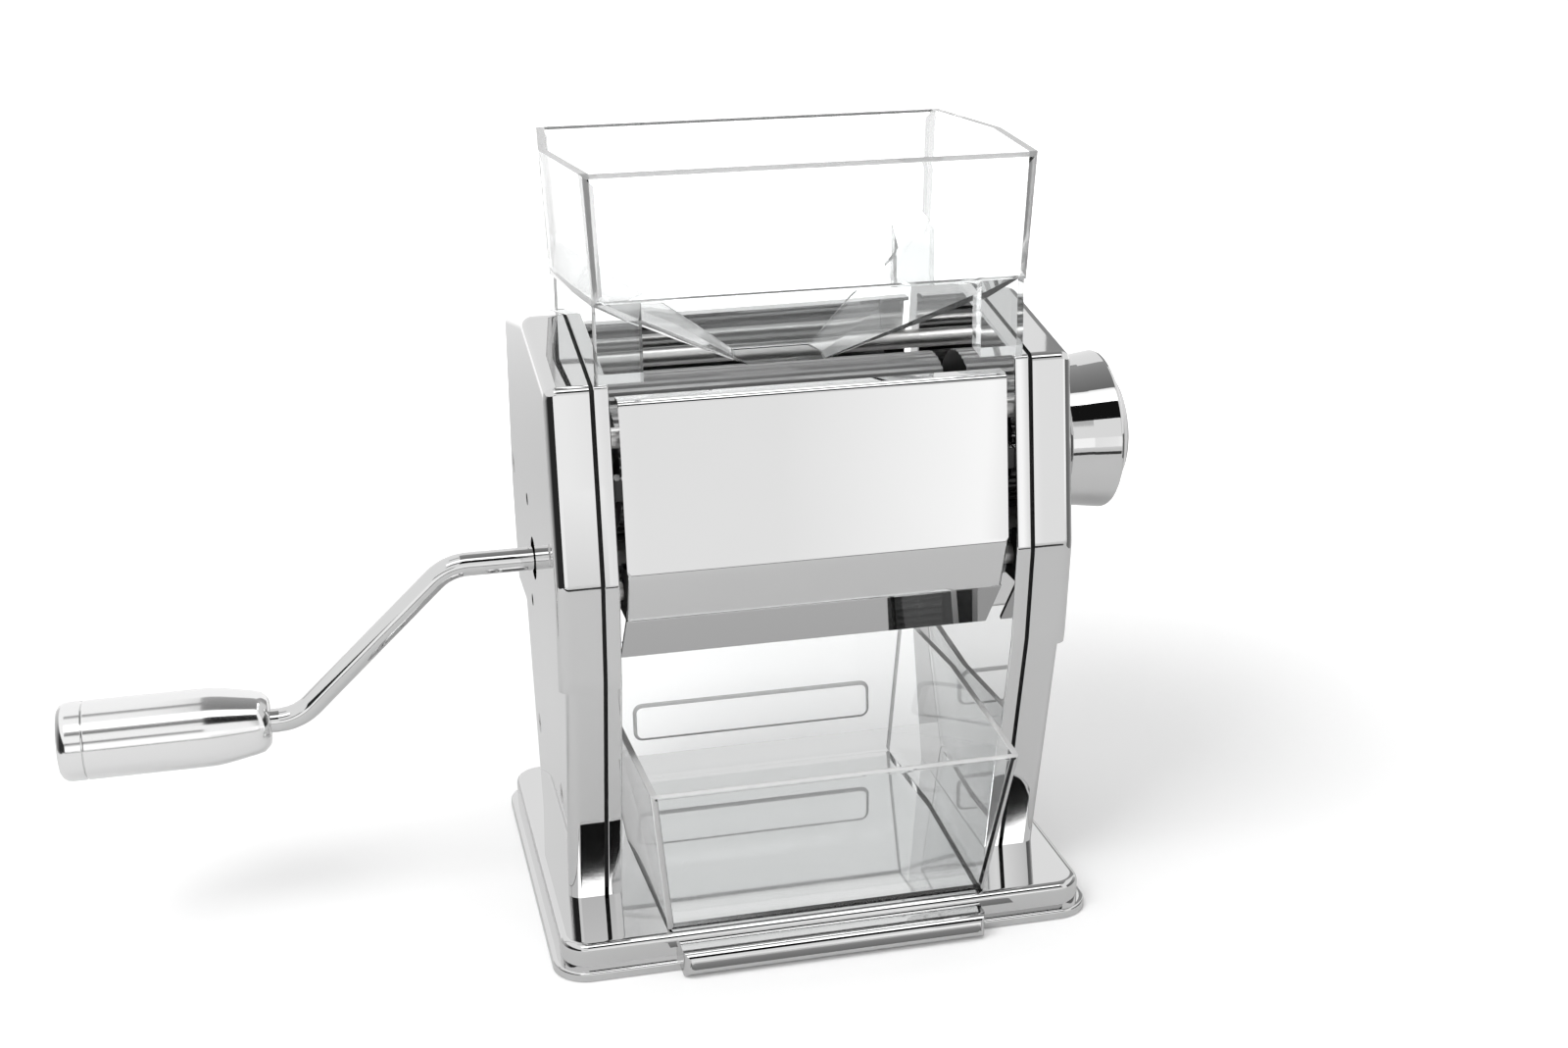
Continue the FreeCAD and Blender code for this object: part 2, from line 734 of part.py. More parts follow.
def makeBushes():
    bushes = []
    for name, sign, y, z, radius in (
        ("rear_left", "-", "rearBack", "topHigh", "journal"),
        ("rear_right", "", "rearBack", "topHigh", "journal"),
        ("lower_left", "-", "lowerBack", "lowerHigh", "driveJournal"),
        ("lower_right", "", "lowerBack", "lowerHigh", "journal"),
    ):
        start = "-shellIn" if sign else "cheekInside"
        long = "cheekThick + landThick"
        outer = cylinderX(name + "_outer", radius + " + runGap + bushWall", start, long, y, z)
        inner = cylinderX(name + "_bore", radius + " + runGap", start, long, y, z)
        bushes.append(cut(name + "_bush", outer, inner))
    group("roller_bushes", bushes)


# Spur gears with straight-flanked teeth, turned so that each pair is in mesh at rest.
def makeGear(label, y, z, bore, turn):
    pitch = "rollerPitch/2"
    root = "(%s - toothIn)" % pitch
    blank = sleeve("-(gearStart + gearFace)", "-gearStart", bore + " + fitGap", root)
    body = turned(label, blank, y, z, turn)
    half = "(pi*rollerPitch/gearTeeth/4 - backlash/2)"
    rootHalf = "(%s + toothSlope*toothIn)" % half
    tipHalf = "(%s - toothSlope*toothOut)" % half
    tooth = [
        (root + " - toothIn/2", "-" + rootHalf),
        (pitch + " + toothOut", "-" + tipHalf),
        (pitch + " + toothOut", tipHalf),
        (root + " - toothIn/2", rootHalf),
    ]
    first = pad(body, outline(body, "YZ_Plane", tooth, "-(gearStart + gearFace)"), "gearFace")
    aroundX(body, first, "gearTeeth")


def makeGears():
    toLower = "(180 deg + acos(lowerStep/rollerPitch))"
    makeGear("drive_gear", "lowerBack", "lowerHigh", "driveJournal", toLower + " + 180 deg")
    makeGear("rear_gear", "rearBack", "topHigh", "journal", toLower + " + 180 deg/gearTeeth")
    makeGear("front_gear", "frontBack", "topHigh", "journal", "180 deg - " + toLower)
    far = "-(gearStart + gearFace)"
    clipStart = far + " - clipThick"
    for label, y, z, bore in (
        ("drive_gear_clip", "lowerBack", "lowerHigh", "driveJournal"),
        ("rear_gear_clip", "rearBack", "topHigh", "journal"),
        ("front_gear_clip", "frontBack", "topHigh", "journal"),
    ):
        turned(label, sleeve(clipStart, far, bore + " + fitGap", bore + " + clipWide"), y, z)


# Front roller carriage: two blocks that slide in the cheeks, tied by a bar below the roller.
def makeCarriage():
    near = "frontBack - blockHalf"
    far = "frontBack + blockHalf"
    low, high = "topHigh - blockTall/2", "topHigh + blockTall/2"
    window = [(near, low), (far, low), (far, high), (near, high)]
    barNear = "frontBack - barForward - barDeep/2"
    barFar = "frontBack - barForward + barDeep/2"
    arm = [(near, high), (near, low), (barNear, "barHigh - barTall/2"), (barFar, "barHigh - barTall/2"),
           (far, low), (far, high)]
    inside = "cheekInside - armThick"
    for label, left in (("left_bearing_block", True), ("right_bearing_block", False)):
        body = newBody(label)
        sign = "-" if left else ""
        pad(body, outline(body, "YZ_Plane", arm, sign + "(%s)" % inside), "armThick", reverse=left)
        slide = outline(body, "YZ_Plane", window, sign + "cheekInside")
        pad(body, slide, "cheekThick + landThick", reverse=left)
        if not left:
            pad(body, outline(body, "YZ_Plane", window, "shellIn"), "cupLong")
        start = sign + "(%s)" % inside
        bore = circles(body, "YZ_Plane", [("frontBack", "topHigh", "journal + runGap")], start)
        pocket(body, bore, "bodyWidth/2", along=not left)
        if not left:
            cup = [("frontBack", "topHigh", "camRadius + camRoom")]
            mouth = "shellIn + cupLong"
            pocket(body, circles(body, "YZ_Plane", cup, mouth), mouth + " - camStart + camThrow")
    bar = newBody("carriage_bar")
    section = [(barNear, "barHigh - barTall/2"), (barFar, "barHigh - barTall/2"),
               (barFar, "barHigh + barTall/2"), (barNear, "barHigh + barTall/2")]
    pad(bar, outline(bar, "YZ_Plane", section, "-(%s)" % inside), "2*(%s)" % inside)


# Adjusting knob: it turns the spindle, whose eccentric moves the carriage,
# and it pulls out against a spring to free its stop pin.

def makeAdjuster():
    shaft = [
        ("camStart + camLong/2", "0"),
        ("webIn", "0"),
        ("webIn", "spindle"),
        ("camStart + camLong/2", "spindle"),
    ]
    spindle = turned("adjust_spindle", shaft, "frontBack", "topHigh")
    cam = circles(spindle, "YZ_Plane", [("camThrow", "0", "camRadius")], "camStart")
    pad(spindle, cam, "camLong")
    key = outline(spindle, "YZ_Plane", hexagon("keyAcross"), "camStart + camLong")
    pad(spindle, key, "headIn - camStart - camLong")

    turned("spindle_head", sleeve("headIn", "headIn + headThick", "0", "headRadius"), "frontBack", "topHigh")

    rim = "knobStart + knobLong - knobEdge"
    inner = "knobRadius - knobWall"
    profile = [
        ("knobStart", inner),
        ("knobStart", "knobRadius - knobBevel"),
        ("knobStart + knobBevel", "knobRadius"),
        (rim, "knobRadius"),
        (rim + " + knobEdge/2", "knobRadius - knobEdge/4"),
        ("knobEnd", "knobFace"),
        ("knobEnd - capThick + capProud", "knobFace"),
        ("knobEnd - capThick + capProud", "springRoom"),
        ("webOut", "springRoom"),
        ("webOut", "0"),
        ("webIn", "0"),
        ("webIn", "hubRadius"),
        (rim, "hubRadius"),
        (rim, inner),
    ]
    knob = turned("adjust_knob", profile, "frontBack", "topHigh")
    pocket(knob, outline(knob, "YZ_Plane", hexagon("keyAcross", "keyGap"), "webIn"), "webThick", along=True)

    seat = "knobEnd - capThick + capProud"
    dome = [
        (seat, "0"),
        (seat + " + capThick", "0"),
        (seat + " + capThick", "knobFace - 2*capThick"),
        (seat + " + capThick/2", "knobFace - fitGap"),
        (seat, "knobFace - fitGap"),
    ]
    turned("knob_cap", dome, "frontBack", "topHigh")

    pin = newBody("stop_pin", "0", "frontBack", "topHigh")
    spot = circles(pin, "YZ_Plane", [("pinCircle", "0", "pinRadius")], "bodyWidth/2 + ringThick/2")
    pad(pin, spot, rim + " - bodyWidth/2 - ringThick/2")

    blank = sleeve("bodyWidth/2", "bodyWidth/2 + ringThick", "spindle + pinRoom", "ringRadius")
    ring = turned("index_ring", blank, "frontBack", "topHigh", "-turnSpare*1 deg")
    slot = sleeve("bodyWidth/2 + ringThick/4", "bodyWidth/2 + 2*ringThick",
                  "pinCircle - pinRadius - pinRoom", "pinCircle + pinRadius + pinRoom")
    groove = ring.newObject("PartDesign::Groove", "index_slot")
    groove.Profile = outline(ring, "XY_Plane", slot)
    groove.ReferenceAxis = (groove.Profile[0], ["H_Axis"])
    bind(groove, "Angle", "(knobTurn + 2*turnSpare)*1 deg")
    doc.recompute()

    spring = newBody("knob_spring", "0", "frontBack", "topHigh")
    coil = "(springRoom + keyAcross/2)/2"
    wire = circles(spring, "XY_Plane", [("webOut + springWire/2 + fitGap", coil, "springWire/2")])
    springLong = "(%s - %s - springWire - 2*fitGap)" % ("headIn", "webOut")
    helix = spring.newObject("PartDesign::AdditiveHelix", "spring_coil")
    helix.Profile = wire
    helix.ReferenceAxis = (wire, ["H_Axis"])
    helix.Mode = "pitch-height-angle"
    bind(helix, "Height", springLong)
    bind(helix, "Pitch", springLong + "/springTurns")
    doc.recompute()


# Crank: a round rod bent twice, with a hexagonal end for the roller's socket.
def makeCrank():
    body = newBody("crank_rod", "-rodStart", "lowerBack", "lowerHigh")
    path = newSketch(body, "XZ_Plane")
    out, drop, reach = number("crankOut"), number("crankDrop"), number("crankReach - rodStart")
    slope, bend = number("crankSlope*pi/180"), number("crankBend")
    cosine, sine = number("cos(crankSlope*1 deg)"), number("sin(crankSlope*1 deg)")
    lost = bend * number("tan(crankSlope*1 deg/2)")
    second = out + drop * cosine / sine
    firstEnd = FreeCAD.Vector(-(out - lost), 0, 0)
    slantStart = FreeCAD.Vector(-(out + lost * cosine), -lost * sine, 0)
    slantEnd = FreeCAD.Vector(-(second - lost * cosine), -(drop - lost * sine), 0)
    lastStart = FreeCAD.Vector(-(second + lost), -drop, 0)
    up = FreeCAD.Vector(0, 0, 1)
    quarter = number("pi/2")
    over = Part.Circle(FreeCAD.Vector(firstEnd.x, -bend, 0), up, bend)
    under = Part.Circle(FreeCAD.Vector(lastStart.x, bend - drop, 0), up, bend)
    path.addGeometry(Part.LineSegment(FreeCAD.Vector(), firstEnd))
    path.addGeometry(Part.ArcOfCircle(over, quarter, quarter + slope))
    path.addGeometry(Part.LineSegment(slantStart, slantEnd))
    path.addGeometry(Part.ArcOfCircle(under, -quarter, -quarter + slope))
    path.addGeometry(Part.LineSegment(lastStart, FreeCAD.Vector(-reach, -drop, 0)))
    pinPoint(path, 0, 1, "0", "0")
    path.addConstraint(Sketcher.Constraint("Horizontal", 0))
    path.addConstraint(Sketcher.Constraint("Tangent", 0, 2, 1, 1))
    path.addConstraint(Sketcher.Constraint("Tangent", 1, 2, 2, 1))
    path.addConstraint(Sketcher.Constraint("Tangent", 2, 2, 3, 2))
    path.addConstraint(Sketcher.Constraint("Tangent", 3, 1, 4, 1))
    path.addConstraint(Sketcher.Constraint("Horizontal", 4))
    pinPoint(path, 4, 2, "-(%s - rodStart)" % "crankReach", "-crankDrop")
    straight = "crankOut - crankBend*tan(crankSlope*1 deg/2)"
    held = (("Radius", "crankBend", 1), ("Radius", "crankBend", 3), ("Distance", straight, 0))
    for kind, text, geo in held:
        index = path.addConstraint(Sketcher.Constraint(kind, geo, number(text)))
        path.setExpression("Constraints[%d]" % index, formula(text))
    index = path.addConstraint(Sketcher.Constraint("Angle", 1, slope))
    path.setExpression("Constraints[%d]" % index, formula("crankSlope*1 deg"))
    pipe = body.newObject("PartDesign::AdditivePipe", "crank_bends")
    pipe.Profile = circles(body, "YZ_Plane", [("0", "0", "rod")])
    pipe.Spine = (path, [])
    doc.recompute()
    key = outline(body, "YZ_Plane", hexagon("keyAcross"))
    pad(body, key, "socketDeep - keyAcross/4 + rodStart - journalLeft")

    axis = ("lowerBack", "lowerHigh - crankDrop")
    gripEnd = "gripStart + gripLong"
    bore = "rod + gripGap"
    recess = "retainerRadius + retainerRoom"
    profile = [
        ("-gripStart", bore),
        ("-gripStart", "gripNeck"),
        ("-(gripStart + gripTaper/3)", "gripNeck + (gripShoulder - gripNeck)*2/3"),
        ("-(gripStart + gripTaper)", "gripShoulder"),
        ("-(gripStart + gripSwell)", "gripRadius"),
        ("-(%s)" % gripEnd, "gripRadius"),
        ("-(%s)" % gripEnd, recess),
        ("-(%s - gripRecess)" % gripEnd, recess),
        ("-(%s - gripRecess)" % gripEnd, bore),
    ]
    turned("crank_grip", profile, *axis)
    capEnd = gripEnd + " + endCapLong"
    cap = [
        ("-(%s)" % gripEnd, recess),
        ("-(%s)" % gripEnd, "gripRadius"),
        ("-(%s - endCapRound)" % capEnd, "gripRadius - endCapRound/8"),
        ("-(%s - endCapRound/4)" % capEnd, "gripRadius - endCapRound/2"),
        ("-(%s)" % capEnd, "gripRadius - endCapRound"),
        ("-(%s)" % capEnd, "0"),
        ("-(%s - endCapWall)" % capEnd, "0"),
        ("-(%s - endCapWall)" % capEnd, recess),
    ]
    turned("grip_end_cap", cap, *axis)
    washer = sleeve("-(%s + retainerThick)" % "crankReach", "-crankReach", "0", "retainerRadius")
    turned("grip_retainer", washer, *axis)


# Hopper: six-sided clear box on a funnel, standing on the cheeks with four posts.
def sixSided(wide, bulge, half, middle="nipBack"):
    """Corners of a box whose end walls bow out by bulge at the middle of its depth."""
    right = [(wide, "-%s" % half), (wide + " + " + bulge, "0"), (wide, half)]
    left = [("-(%s)" % x, y) for x, y in reversed(right)]
    return [(x, middle + " + (%s)" % y) for x, y in right + left]


def makeHopper():
    body = newBody("hopper")
    low = ("(hopperWide - hopperDraft)", "hopperBulge", "(hopperHalf - hopperDraft)")
    floor = outline(body, "XY_Plane", sixSided(*low), "hopperFloor")
    rim = outline(body, "XY_Plane", sixSided("hopperWide", "hopperBulge", "hopperHalf"), "hopperRim")
    loft(body, "AdditiveLoft", floor, rim)
    mid = ("funnelMidWide", "funnelBulge", "funnelMidHalf")
    end = ("funnelEndWide", "funnelBulge", "funnelEndHalf")
    waist = outline(body, "XY_Plane", sixSided(*mid), "funnelMid")
    spout = outline(body, "XY_Plane", sixSided(*end), "funnelEnd")
    loft(body, "AdditiveLoft", waist, outline(body, "XY_Plane", sixSided(*low), "hopperFloor"))
    loft(body, "AdditiveLoft", spout, outline(body, "XY_Plane", sixSided(*mid), "funnelMid"))
    top = "hopperFloor + hopperWall"
    outer = "(hopperHalf - hopperDraft - postInset)"
    for sign in ("-", ""):
        far = "(nipBack %s %s)" % (sign or "+", outer)
        near = "(nipBack %s (%s - postDeep))" % (sign or "+", outer)
        post = [
            (far, "ridgeHigh - %s*%s%s" % ("roofFall", sign, far)),
            (near, "ridgeHigh - %s*%s%s" % ("roofFall", sign, near)),
            (near, top),
            (far, top),
        ]
        pad(body, outline(body, "YZ_Plane", post, "postStart"), "postWide")
        pad(body, outline(body, "YZ_Plane", post, "-postStart"), "postWide", reverse=True)
    inLow = ("(%s - hopperWall)" % low[0], "hopperBulge", "(%s - hopperWall)" % low[2])
    inRim = ("(hopperWide - hopperWall)", "hopperBulge", "(hopperHalf - hopperWall)")
    inMid = ("(funnelMidWide - funnelWall)", "funnelBulge", "(funnelMidHalf - funnelWall)")
    inEnd = ("(funnelEndWide - funnelWall)", "funnelBulge", "(funnelEndHalf - funnelWall)")
    middle = "funnelMid + funnelWall"
    for lower, lowerHeight, upper, upperHeight in (
        (inLow, top, inRim, "hopperRim"),
        (inMid, middle, inLow, top),
        (inEnd, "funnelEnd", inMid, middle),
    ):
        first = outline(body, "XY_Plane", sixSided(*lower), lowerHeight)
        loft(body, "SubtractiveLoft", first, outline(body, "XY_Plane", sixSided(*upper), upperHeight))
    doc.recompute()


# Tray: clear six-sided drawer with leaning walls and a moulded grip recess at the back.
def trayPlan(gap, drop):
    """The tray's plan at its rim moved inward by gap, and leaned in by a share drop of its lean."""
    wide = "(trayWide - %s - trayLeanSide*%s)" % (gap, drop)
    front = "-(trayFront - %s - trayLeanFront*%s)" % (gap, drop)
    back = "(trayBack - %s - trayLeanBack*%s)" % (gap, drop)
    right = [(wide, front), (wide + " + trayBulge", "nipBack"), (wide, back)]
    return right + [("-(%s)" % x, y) for x, y in reversed(right)]


def makeTray():
    body = newBody("tray")
    floor = outline(body, "XY_Plane", trayPlan("0", "1"), "baseHigh")
    loft(body, "AdditiveLoft", floor, outline(body, "XY_Plane", trayPlan("0", "0"), "trayTop"))
    share = "(1 - trayWall/(trayTop - baseHigh))"
    inside = outline(body, "XY_Plane", trayPlan("trayWall", share), "baseHigh + trayWall")
    loft(body, "SubtractiveLoft", inside, outline(body, "XY_Plane", trayPlan("trayWall", "0"), "trayTop"))
    lean = "trayLeanBack*(trayTop - recessHigh)/(trayTop - baseHigh)"
    depth = "-(trayBack - %s - recessDeep)" % lean
    corner = "recessTall/2 - recessDeep"
    slot = roundedBox(body, "XZ_Plane", "recessWide/2", "recessTall/2", corner, depth, "recessHigh")
    pocket(body, slot, "recessDeep + trayLeanBack")


# Tie rods with a nut at each end, and the screws of the shells and the base.
def makeFasteners():
    rods, nuts = [], []
    for sy in ("", "-"):
        for high in ("tieUpper", "tieLower"):
            y, z = sy + "tieHalf", high
            name = "tie_%s_%s" % ("back" if not sy else "front", high)
            bar = cylinderX(name + "_bar", "tieRadius", "-cheekInside", "2*cheekInside", y, z)
            reach = "(%s + nutThick)" % "shellIn"
            stud = cylinderX(name + "_stud", "tieStud", "-" + reach, "2*" + reach, y, z)
            rods.append(fuse(name + "_rod", bar, stud))
            for start in ("-" + reach, "shellIn"):
                block = doc.addObject("Part::Prism", name + "_hex")
                block.Polygon = 6
                block.Placement = alongX()
                bind(block, "Circumradius", "nutAcross/2/cos(30 deg)")
                bind(block, "Height", "nutThick")
                for prop, text in (("x", start), ("y", y), ("z", z)):
                    bind(block, "Placement.Base." + prop, text)
                hole = cylinderX(name + "_hole", "tieStud", start, "nutThick", y, z)
                nuts.append(cut(name + "_nut", block, hole))
    group("tie_rods", rods)
    group("tie_nuts", nuts)

    spots = [(sy + half, high, outer)
             for half, high, outer in (("screwUpperHalf", "screwUpperHigh", "bodyWidth/2"),
                                       ("screwLowerHalf", "screwLowerHigh", "legWidth/2"))
             for sy in ("", "-")]
    for label, left in (("left_shell_screws", True), ("right_shell_screws", False)):
        screws = []
        for y, z, outer in spots:
            seat = outer + " - sideHeadThick"
            inner = "cheekInside"
            long = "(%s - %s)" % (seat, inner)
            headStart = "-(%s)" % outer if left else seat
            shankStart = "-(%s)" % seat if left else inner
            head = cylinderX(label + "_head", "sideHead", headStart, "sideHeadThick", y, z)
            shank = cylinderX(label + "_shank", "sideScrew", shankStart, long, y, z)
            screws.append(fuse(label + "_screw", head, shank))
        group(label, screws)

    feet = []
    for sx in ("", "-"):
        for sy in ("", "-"):
            x, y = sx + "(cheekInside + cheekThick/2)", sy + "footScrewHalf"
            seat = "(baseHigh - baseWall)"
            head = cylinderZ("foot_head", "footHead", seat + " - footHeadThick", "footHeadThick", x, y)
            shank = cylinderZ("foot_shank", "footScrew", seat, "baseWall + footScrewLong", x, y)
            feet.append(fuse("foot_screw", head, shank))
    group("base_screws", feet)


makeBase()
makeCheek("left_cheek", -1)
makeCheek("right_cheek", 1)
makeShell("left_shell", -1)
makeShell("right_shell", 1)
makePlate("front_plate", -1)
makePlate("rear_plate", 1)
makeRollers()
makeBushes()
makeGears()
makeCarriage()
makeAdjuster()
makeCrank()
makeHopper()
makeTray()
makeFasteners()
doc.recompute()

nodes = [thing for thing in doc.Objects if thing.TypeId in ("PartDesign::Body", "Part::Compound")]
for thing in doc.Objects:
    if "Invalid" in thing.State or "Error" in thing.State:
        raise RuntimeError("%s did not build: %s" % (thing.Label, thing.State))
for node in nodes:
    if node.Shape.isNull() or not node.Shape.isValid() or not node.Shape.Solids:
        raise RuntimeError("%s has no sound solid" % node.Label)

os.makedirs("parts", exist_ok=True)
for node in nodes:
    node.Shape.exportStep("parts/%s.step" % node.Label)
    box = node.Shape.BoundBox
    print("%-22s solids %2d  volume %9.1f  X %7.1f..%7.1f  Y %7.1f..%7.1f  Z %7.1f..%7.1f" % (
        node.Label, len(node.Shape.Solids), node.Shape.Volume,
        box.XMin, box.XMax, box.YMin, box.YMax, box.ZMin, box.ZMax))
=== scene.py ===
import math
import bmesh
import bpy
from mathutils import Matrix, Vector


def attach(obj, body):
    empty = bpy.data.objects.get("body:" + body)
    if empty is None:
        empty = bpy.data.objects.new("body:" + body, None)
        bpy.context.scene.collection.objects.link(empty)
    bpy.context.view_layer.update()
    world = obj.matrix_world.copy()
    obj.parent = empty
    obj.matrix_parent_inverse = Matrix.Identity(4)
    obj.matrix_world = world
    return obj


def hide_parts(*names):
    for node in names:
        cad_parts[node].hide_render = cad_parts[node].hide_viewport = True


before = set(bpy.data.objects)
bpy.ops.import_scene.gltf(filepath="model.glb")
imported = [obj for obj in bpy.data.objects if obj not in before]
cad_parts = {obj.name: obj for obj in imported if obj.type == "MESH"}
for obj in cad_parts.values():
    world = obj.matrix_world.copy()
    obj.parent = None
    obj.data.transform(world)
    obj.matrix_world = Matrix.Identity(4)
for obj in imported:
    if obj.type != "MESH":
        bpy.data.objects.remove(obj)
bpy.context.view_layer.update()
mm = 0.001
print("frame loaded:", len(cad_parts), "nodes")


# picking up and putting down

def letGo():
    bpy.ops.object.select_all(action="DESELECT")


def hold(piece):
    letGo()
    piece.select_set(True)
    bpy.context.view_layer.objects.active = piece


def fixPlace():
    bpy.ops.object.transform_apply(location=True, rotation=True, scale=True)


def settle(name):
    piece = bpy.context.object
    piece.name = name
    piece.data.name = name
    fixPlace()
    return piece


def block(name, low, high):
    letGo()
    middle = [(a + b) / 2 * mm for a, b in zip(low, high)]
    size = [(b - a) * mm for a, b in zip(low, high)]
    bpy.ops.mesh.primitive_cube_add(size=1, location=middle, scale=size)
    return settle(name)


def bar(name, low, high, y, z, radius, sides):
    # a round bar along X
    letGo()
    middle = ((low + high) / 2 * mm, y * mm, z * mm)
    bpy.ops.mesh.primitive_cylinder_add(vertices=sides, radius=radius * mm, depth=(high - low) * mm,
                                        location=middle, rotation=(0, math.pi / 2, 0))
    return settle(name)


def shape(piece):
    hold(piece)
    bpy.ops.object.mode_set(mode="EDIT")


def leave():
    bpy.ops.object.mode_set(mode="OBJECT")


def pickAll():
    bpy.ops.mesh.select_mode(type="FACE")
    bpy.ops.mesh.select_all(action="SELECT")


def pick(kind, test):
    # the test gets an edge's ends, a face's middle and normal, or a corner's place, all in mm
    bpy.ops.mesh.select_mode(type=kind)
    bpy.ops.mesh.select_all(action="DESELECT")
    data = bpy.context.object.data
    mesh = bmesh.from_edit_mesh(data)
    found = 0
    if kind == "EDGE":
        for edge in mesh.edges:
            edge.select = test(edge.verts[0].co / mm, edge.verts[1].co / mm)
            found += edge.select
    elif kind == "FACE":
        mesh.normal_update()
        for face in mesh.faces:
            face.select = test(face.calc_center_median() / mm, face.normal)
            found += face.select
    else:
        for vert in mesh.verts:
            vert.select = test(vert.co / mm)
            found += vert.select
    mesh.select_flush_mode()
    bmesh.update_edit_mesh(data)
    if not found:
        raise ValueError("nothing picked on " + bpy.context.object.name)


def near(a, b, slack=0.05):
    return abs(a - b) < slack


def edgesAt(**levels):
    # edges with both ends at these levels, such as z=14
    def test(a, b):
        return all(near(getattr(p, axis), level) for p in (a, b) for axis, level in levels.items())

    return test


def bevel(width, rings, clamp=True):
    bpy.ops.mesh.bevel(offset=width * mm, segments=rings, affect="EDGES", clamp_overlap=clamp)


def roundEdges(piece, test, width, rings, clamp=True):
    shape(piece)
    pick("EDGE", test)
    bevel(width, rings, clamp)
    leave()


def pull(x, y, z):
    move = {"value": (x * mm, y * mm, z * mm)}
    bpy.ops.mesh.extrude_region_move(TRANSFORM_OT_translate=move)


def cutAway(piece, cuts):
    # each cut keeps what lies behind its plane
    shape(piece)
    for point, normal in cuts:
        pickAll()
        place = [v * mm for v in point]
        bpy.ops.mesh.bisect(plane_co=place, plane_no=normal, use_fill=True, clear_outer=True)
    leave()


def useModifiers(piece):
    hold(piece)
    for modifier in list(piece.modifiers):
        bpy.ops.object.modifier_apply(modifier=modifier.name)


def combine(piece, other, how):
    change = piece.modifiers.new("combine", "BOOLEAN")
    change.operation = how
    change.solver = "EXACT"
    change.object = other
    useModifiers(piece)
    bpy.data.objects.remove(other)


def turnOut(piece, weld=0.002):
    # welds doubled corners and faces every side outward
    shape(piece)
    pickAll()
    bpy.ops.mesh.remove_doubles(threshold=weld * mm)
    bpy.ops.mesh.normals_make_consistent(inside=False)
    leave()


def soften(piece, width, rings=3, angle=30):
    # a small round on every edge sharper than the angle
    edge = piece.modifiers.new("edge", "BEVEL")
    edge.width = width * mm
    edge.segments = rings
    edge.limit_method = "ANGLE"
    edge.angle_limit = math.radians(angle)
    useModifiers(piece)


def polish(piece, angle=32):
    hold(piece)
    bpy.ops.object.shade_smooth_by_angle(angle=math.radians(angle))
    even = piece.modifiers.new("even", "WEIGHTED_NORMAL")
    even.keep_sharp = True
    even.weight = 100
    useModifiers(piece)


def copied(piece, name):
    twin = piece.copy()
    twin.data = piece.data.copy()
    twin.name = name
    twin.data.name = name
    bpy.context.collection.objects.link(twin)
    return twin


def mirrored(piece, name):
    twin = copied(piece, name)
    hold(twin)
    twin.scale.x = -1
    fixPlace()
    turnOut(twin)
    return twin


def swapped(piece, name):
    # the mirror image in place of the piece
    twin = mirrored(piece, name)
    bpy.data.objects.remove(piece)
    twin.name = name
    return twin


def drill(piece, spots, low, high, sides=40):
    # round holes along X, each spot is y, z and radius
    for y, z, radius in spots:
        combine(piece, bar("drill", low, high, y, z, radius, sides), "DIFFERENCE")


def turned(name, rings, y, z, sides=96, closed=False):
    # a lathe piece about an axis along X: rings of x and radius, drawn out one from the other
    letGo()
    x, radius = rings[0]
    bpy.ops.mesh.primitive_circle_add(vertices=sides, radius=radius * mm, location=(x * mm, y * mm, z * mm),
                                      rotation=(0, math.pi / 2, 0))
    piece = settle(name)
    shape(piece)
    bpy.ops.mesh.select_mode(type="EDGE")
    bpy.ops.mesh.select_all(action="SELECT")
    if not closed:
        bpy.ops.mesh.edge_face_add()
    for nextX, nextRadius in rings[1:]:
        pull(nextX - x, 0, 0)
        grow = nextRadius / radius
        bpy.ops.transform.resize(value=(1, grow, grow), center_override=(nextX * mm, y * mm, z * mm))
        x, radius = nextX, nextRadius
    leave()
    if closed:
        shape(piece)
        pick("EDGE", lambda a, b: near(a.x, b.x) and isRim(a, b, rings, y, z))
        bpy.ops.mesh.bridge_edge_loops()
        leave()
    turnOut(piece)
    return piece


def isRim(a, b, rings, y, z):
    # an edge of the first or the last ring
    for x, radius in (rings[0], rings[-1]):
        far = [math.hypot(p.y - y, p.z - z) for p in (a, b)]
        if near(a.x, x) and near(far[0], radius) and near(far[1], radius):
            return True
    return False


def fit(piece, body, finish, node):
    # the piece takes the solid's place on its body
    piece.data.materials.clear()
    piece.data.materials.append(finish)
    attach(piece, body)
    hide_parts(node)


def paint(piece, finish, test):
    # a second finish on some of the faces
    piece.data.materials.append(finish)
    shape(piece)
    pick("FACE", test)
    piece.active_material_index = len(piece.material_slots) - 1
    bpy.ops.object.material_slot_assign()
    leave()


# shader wiring

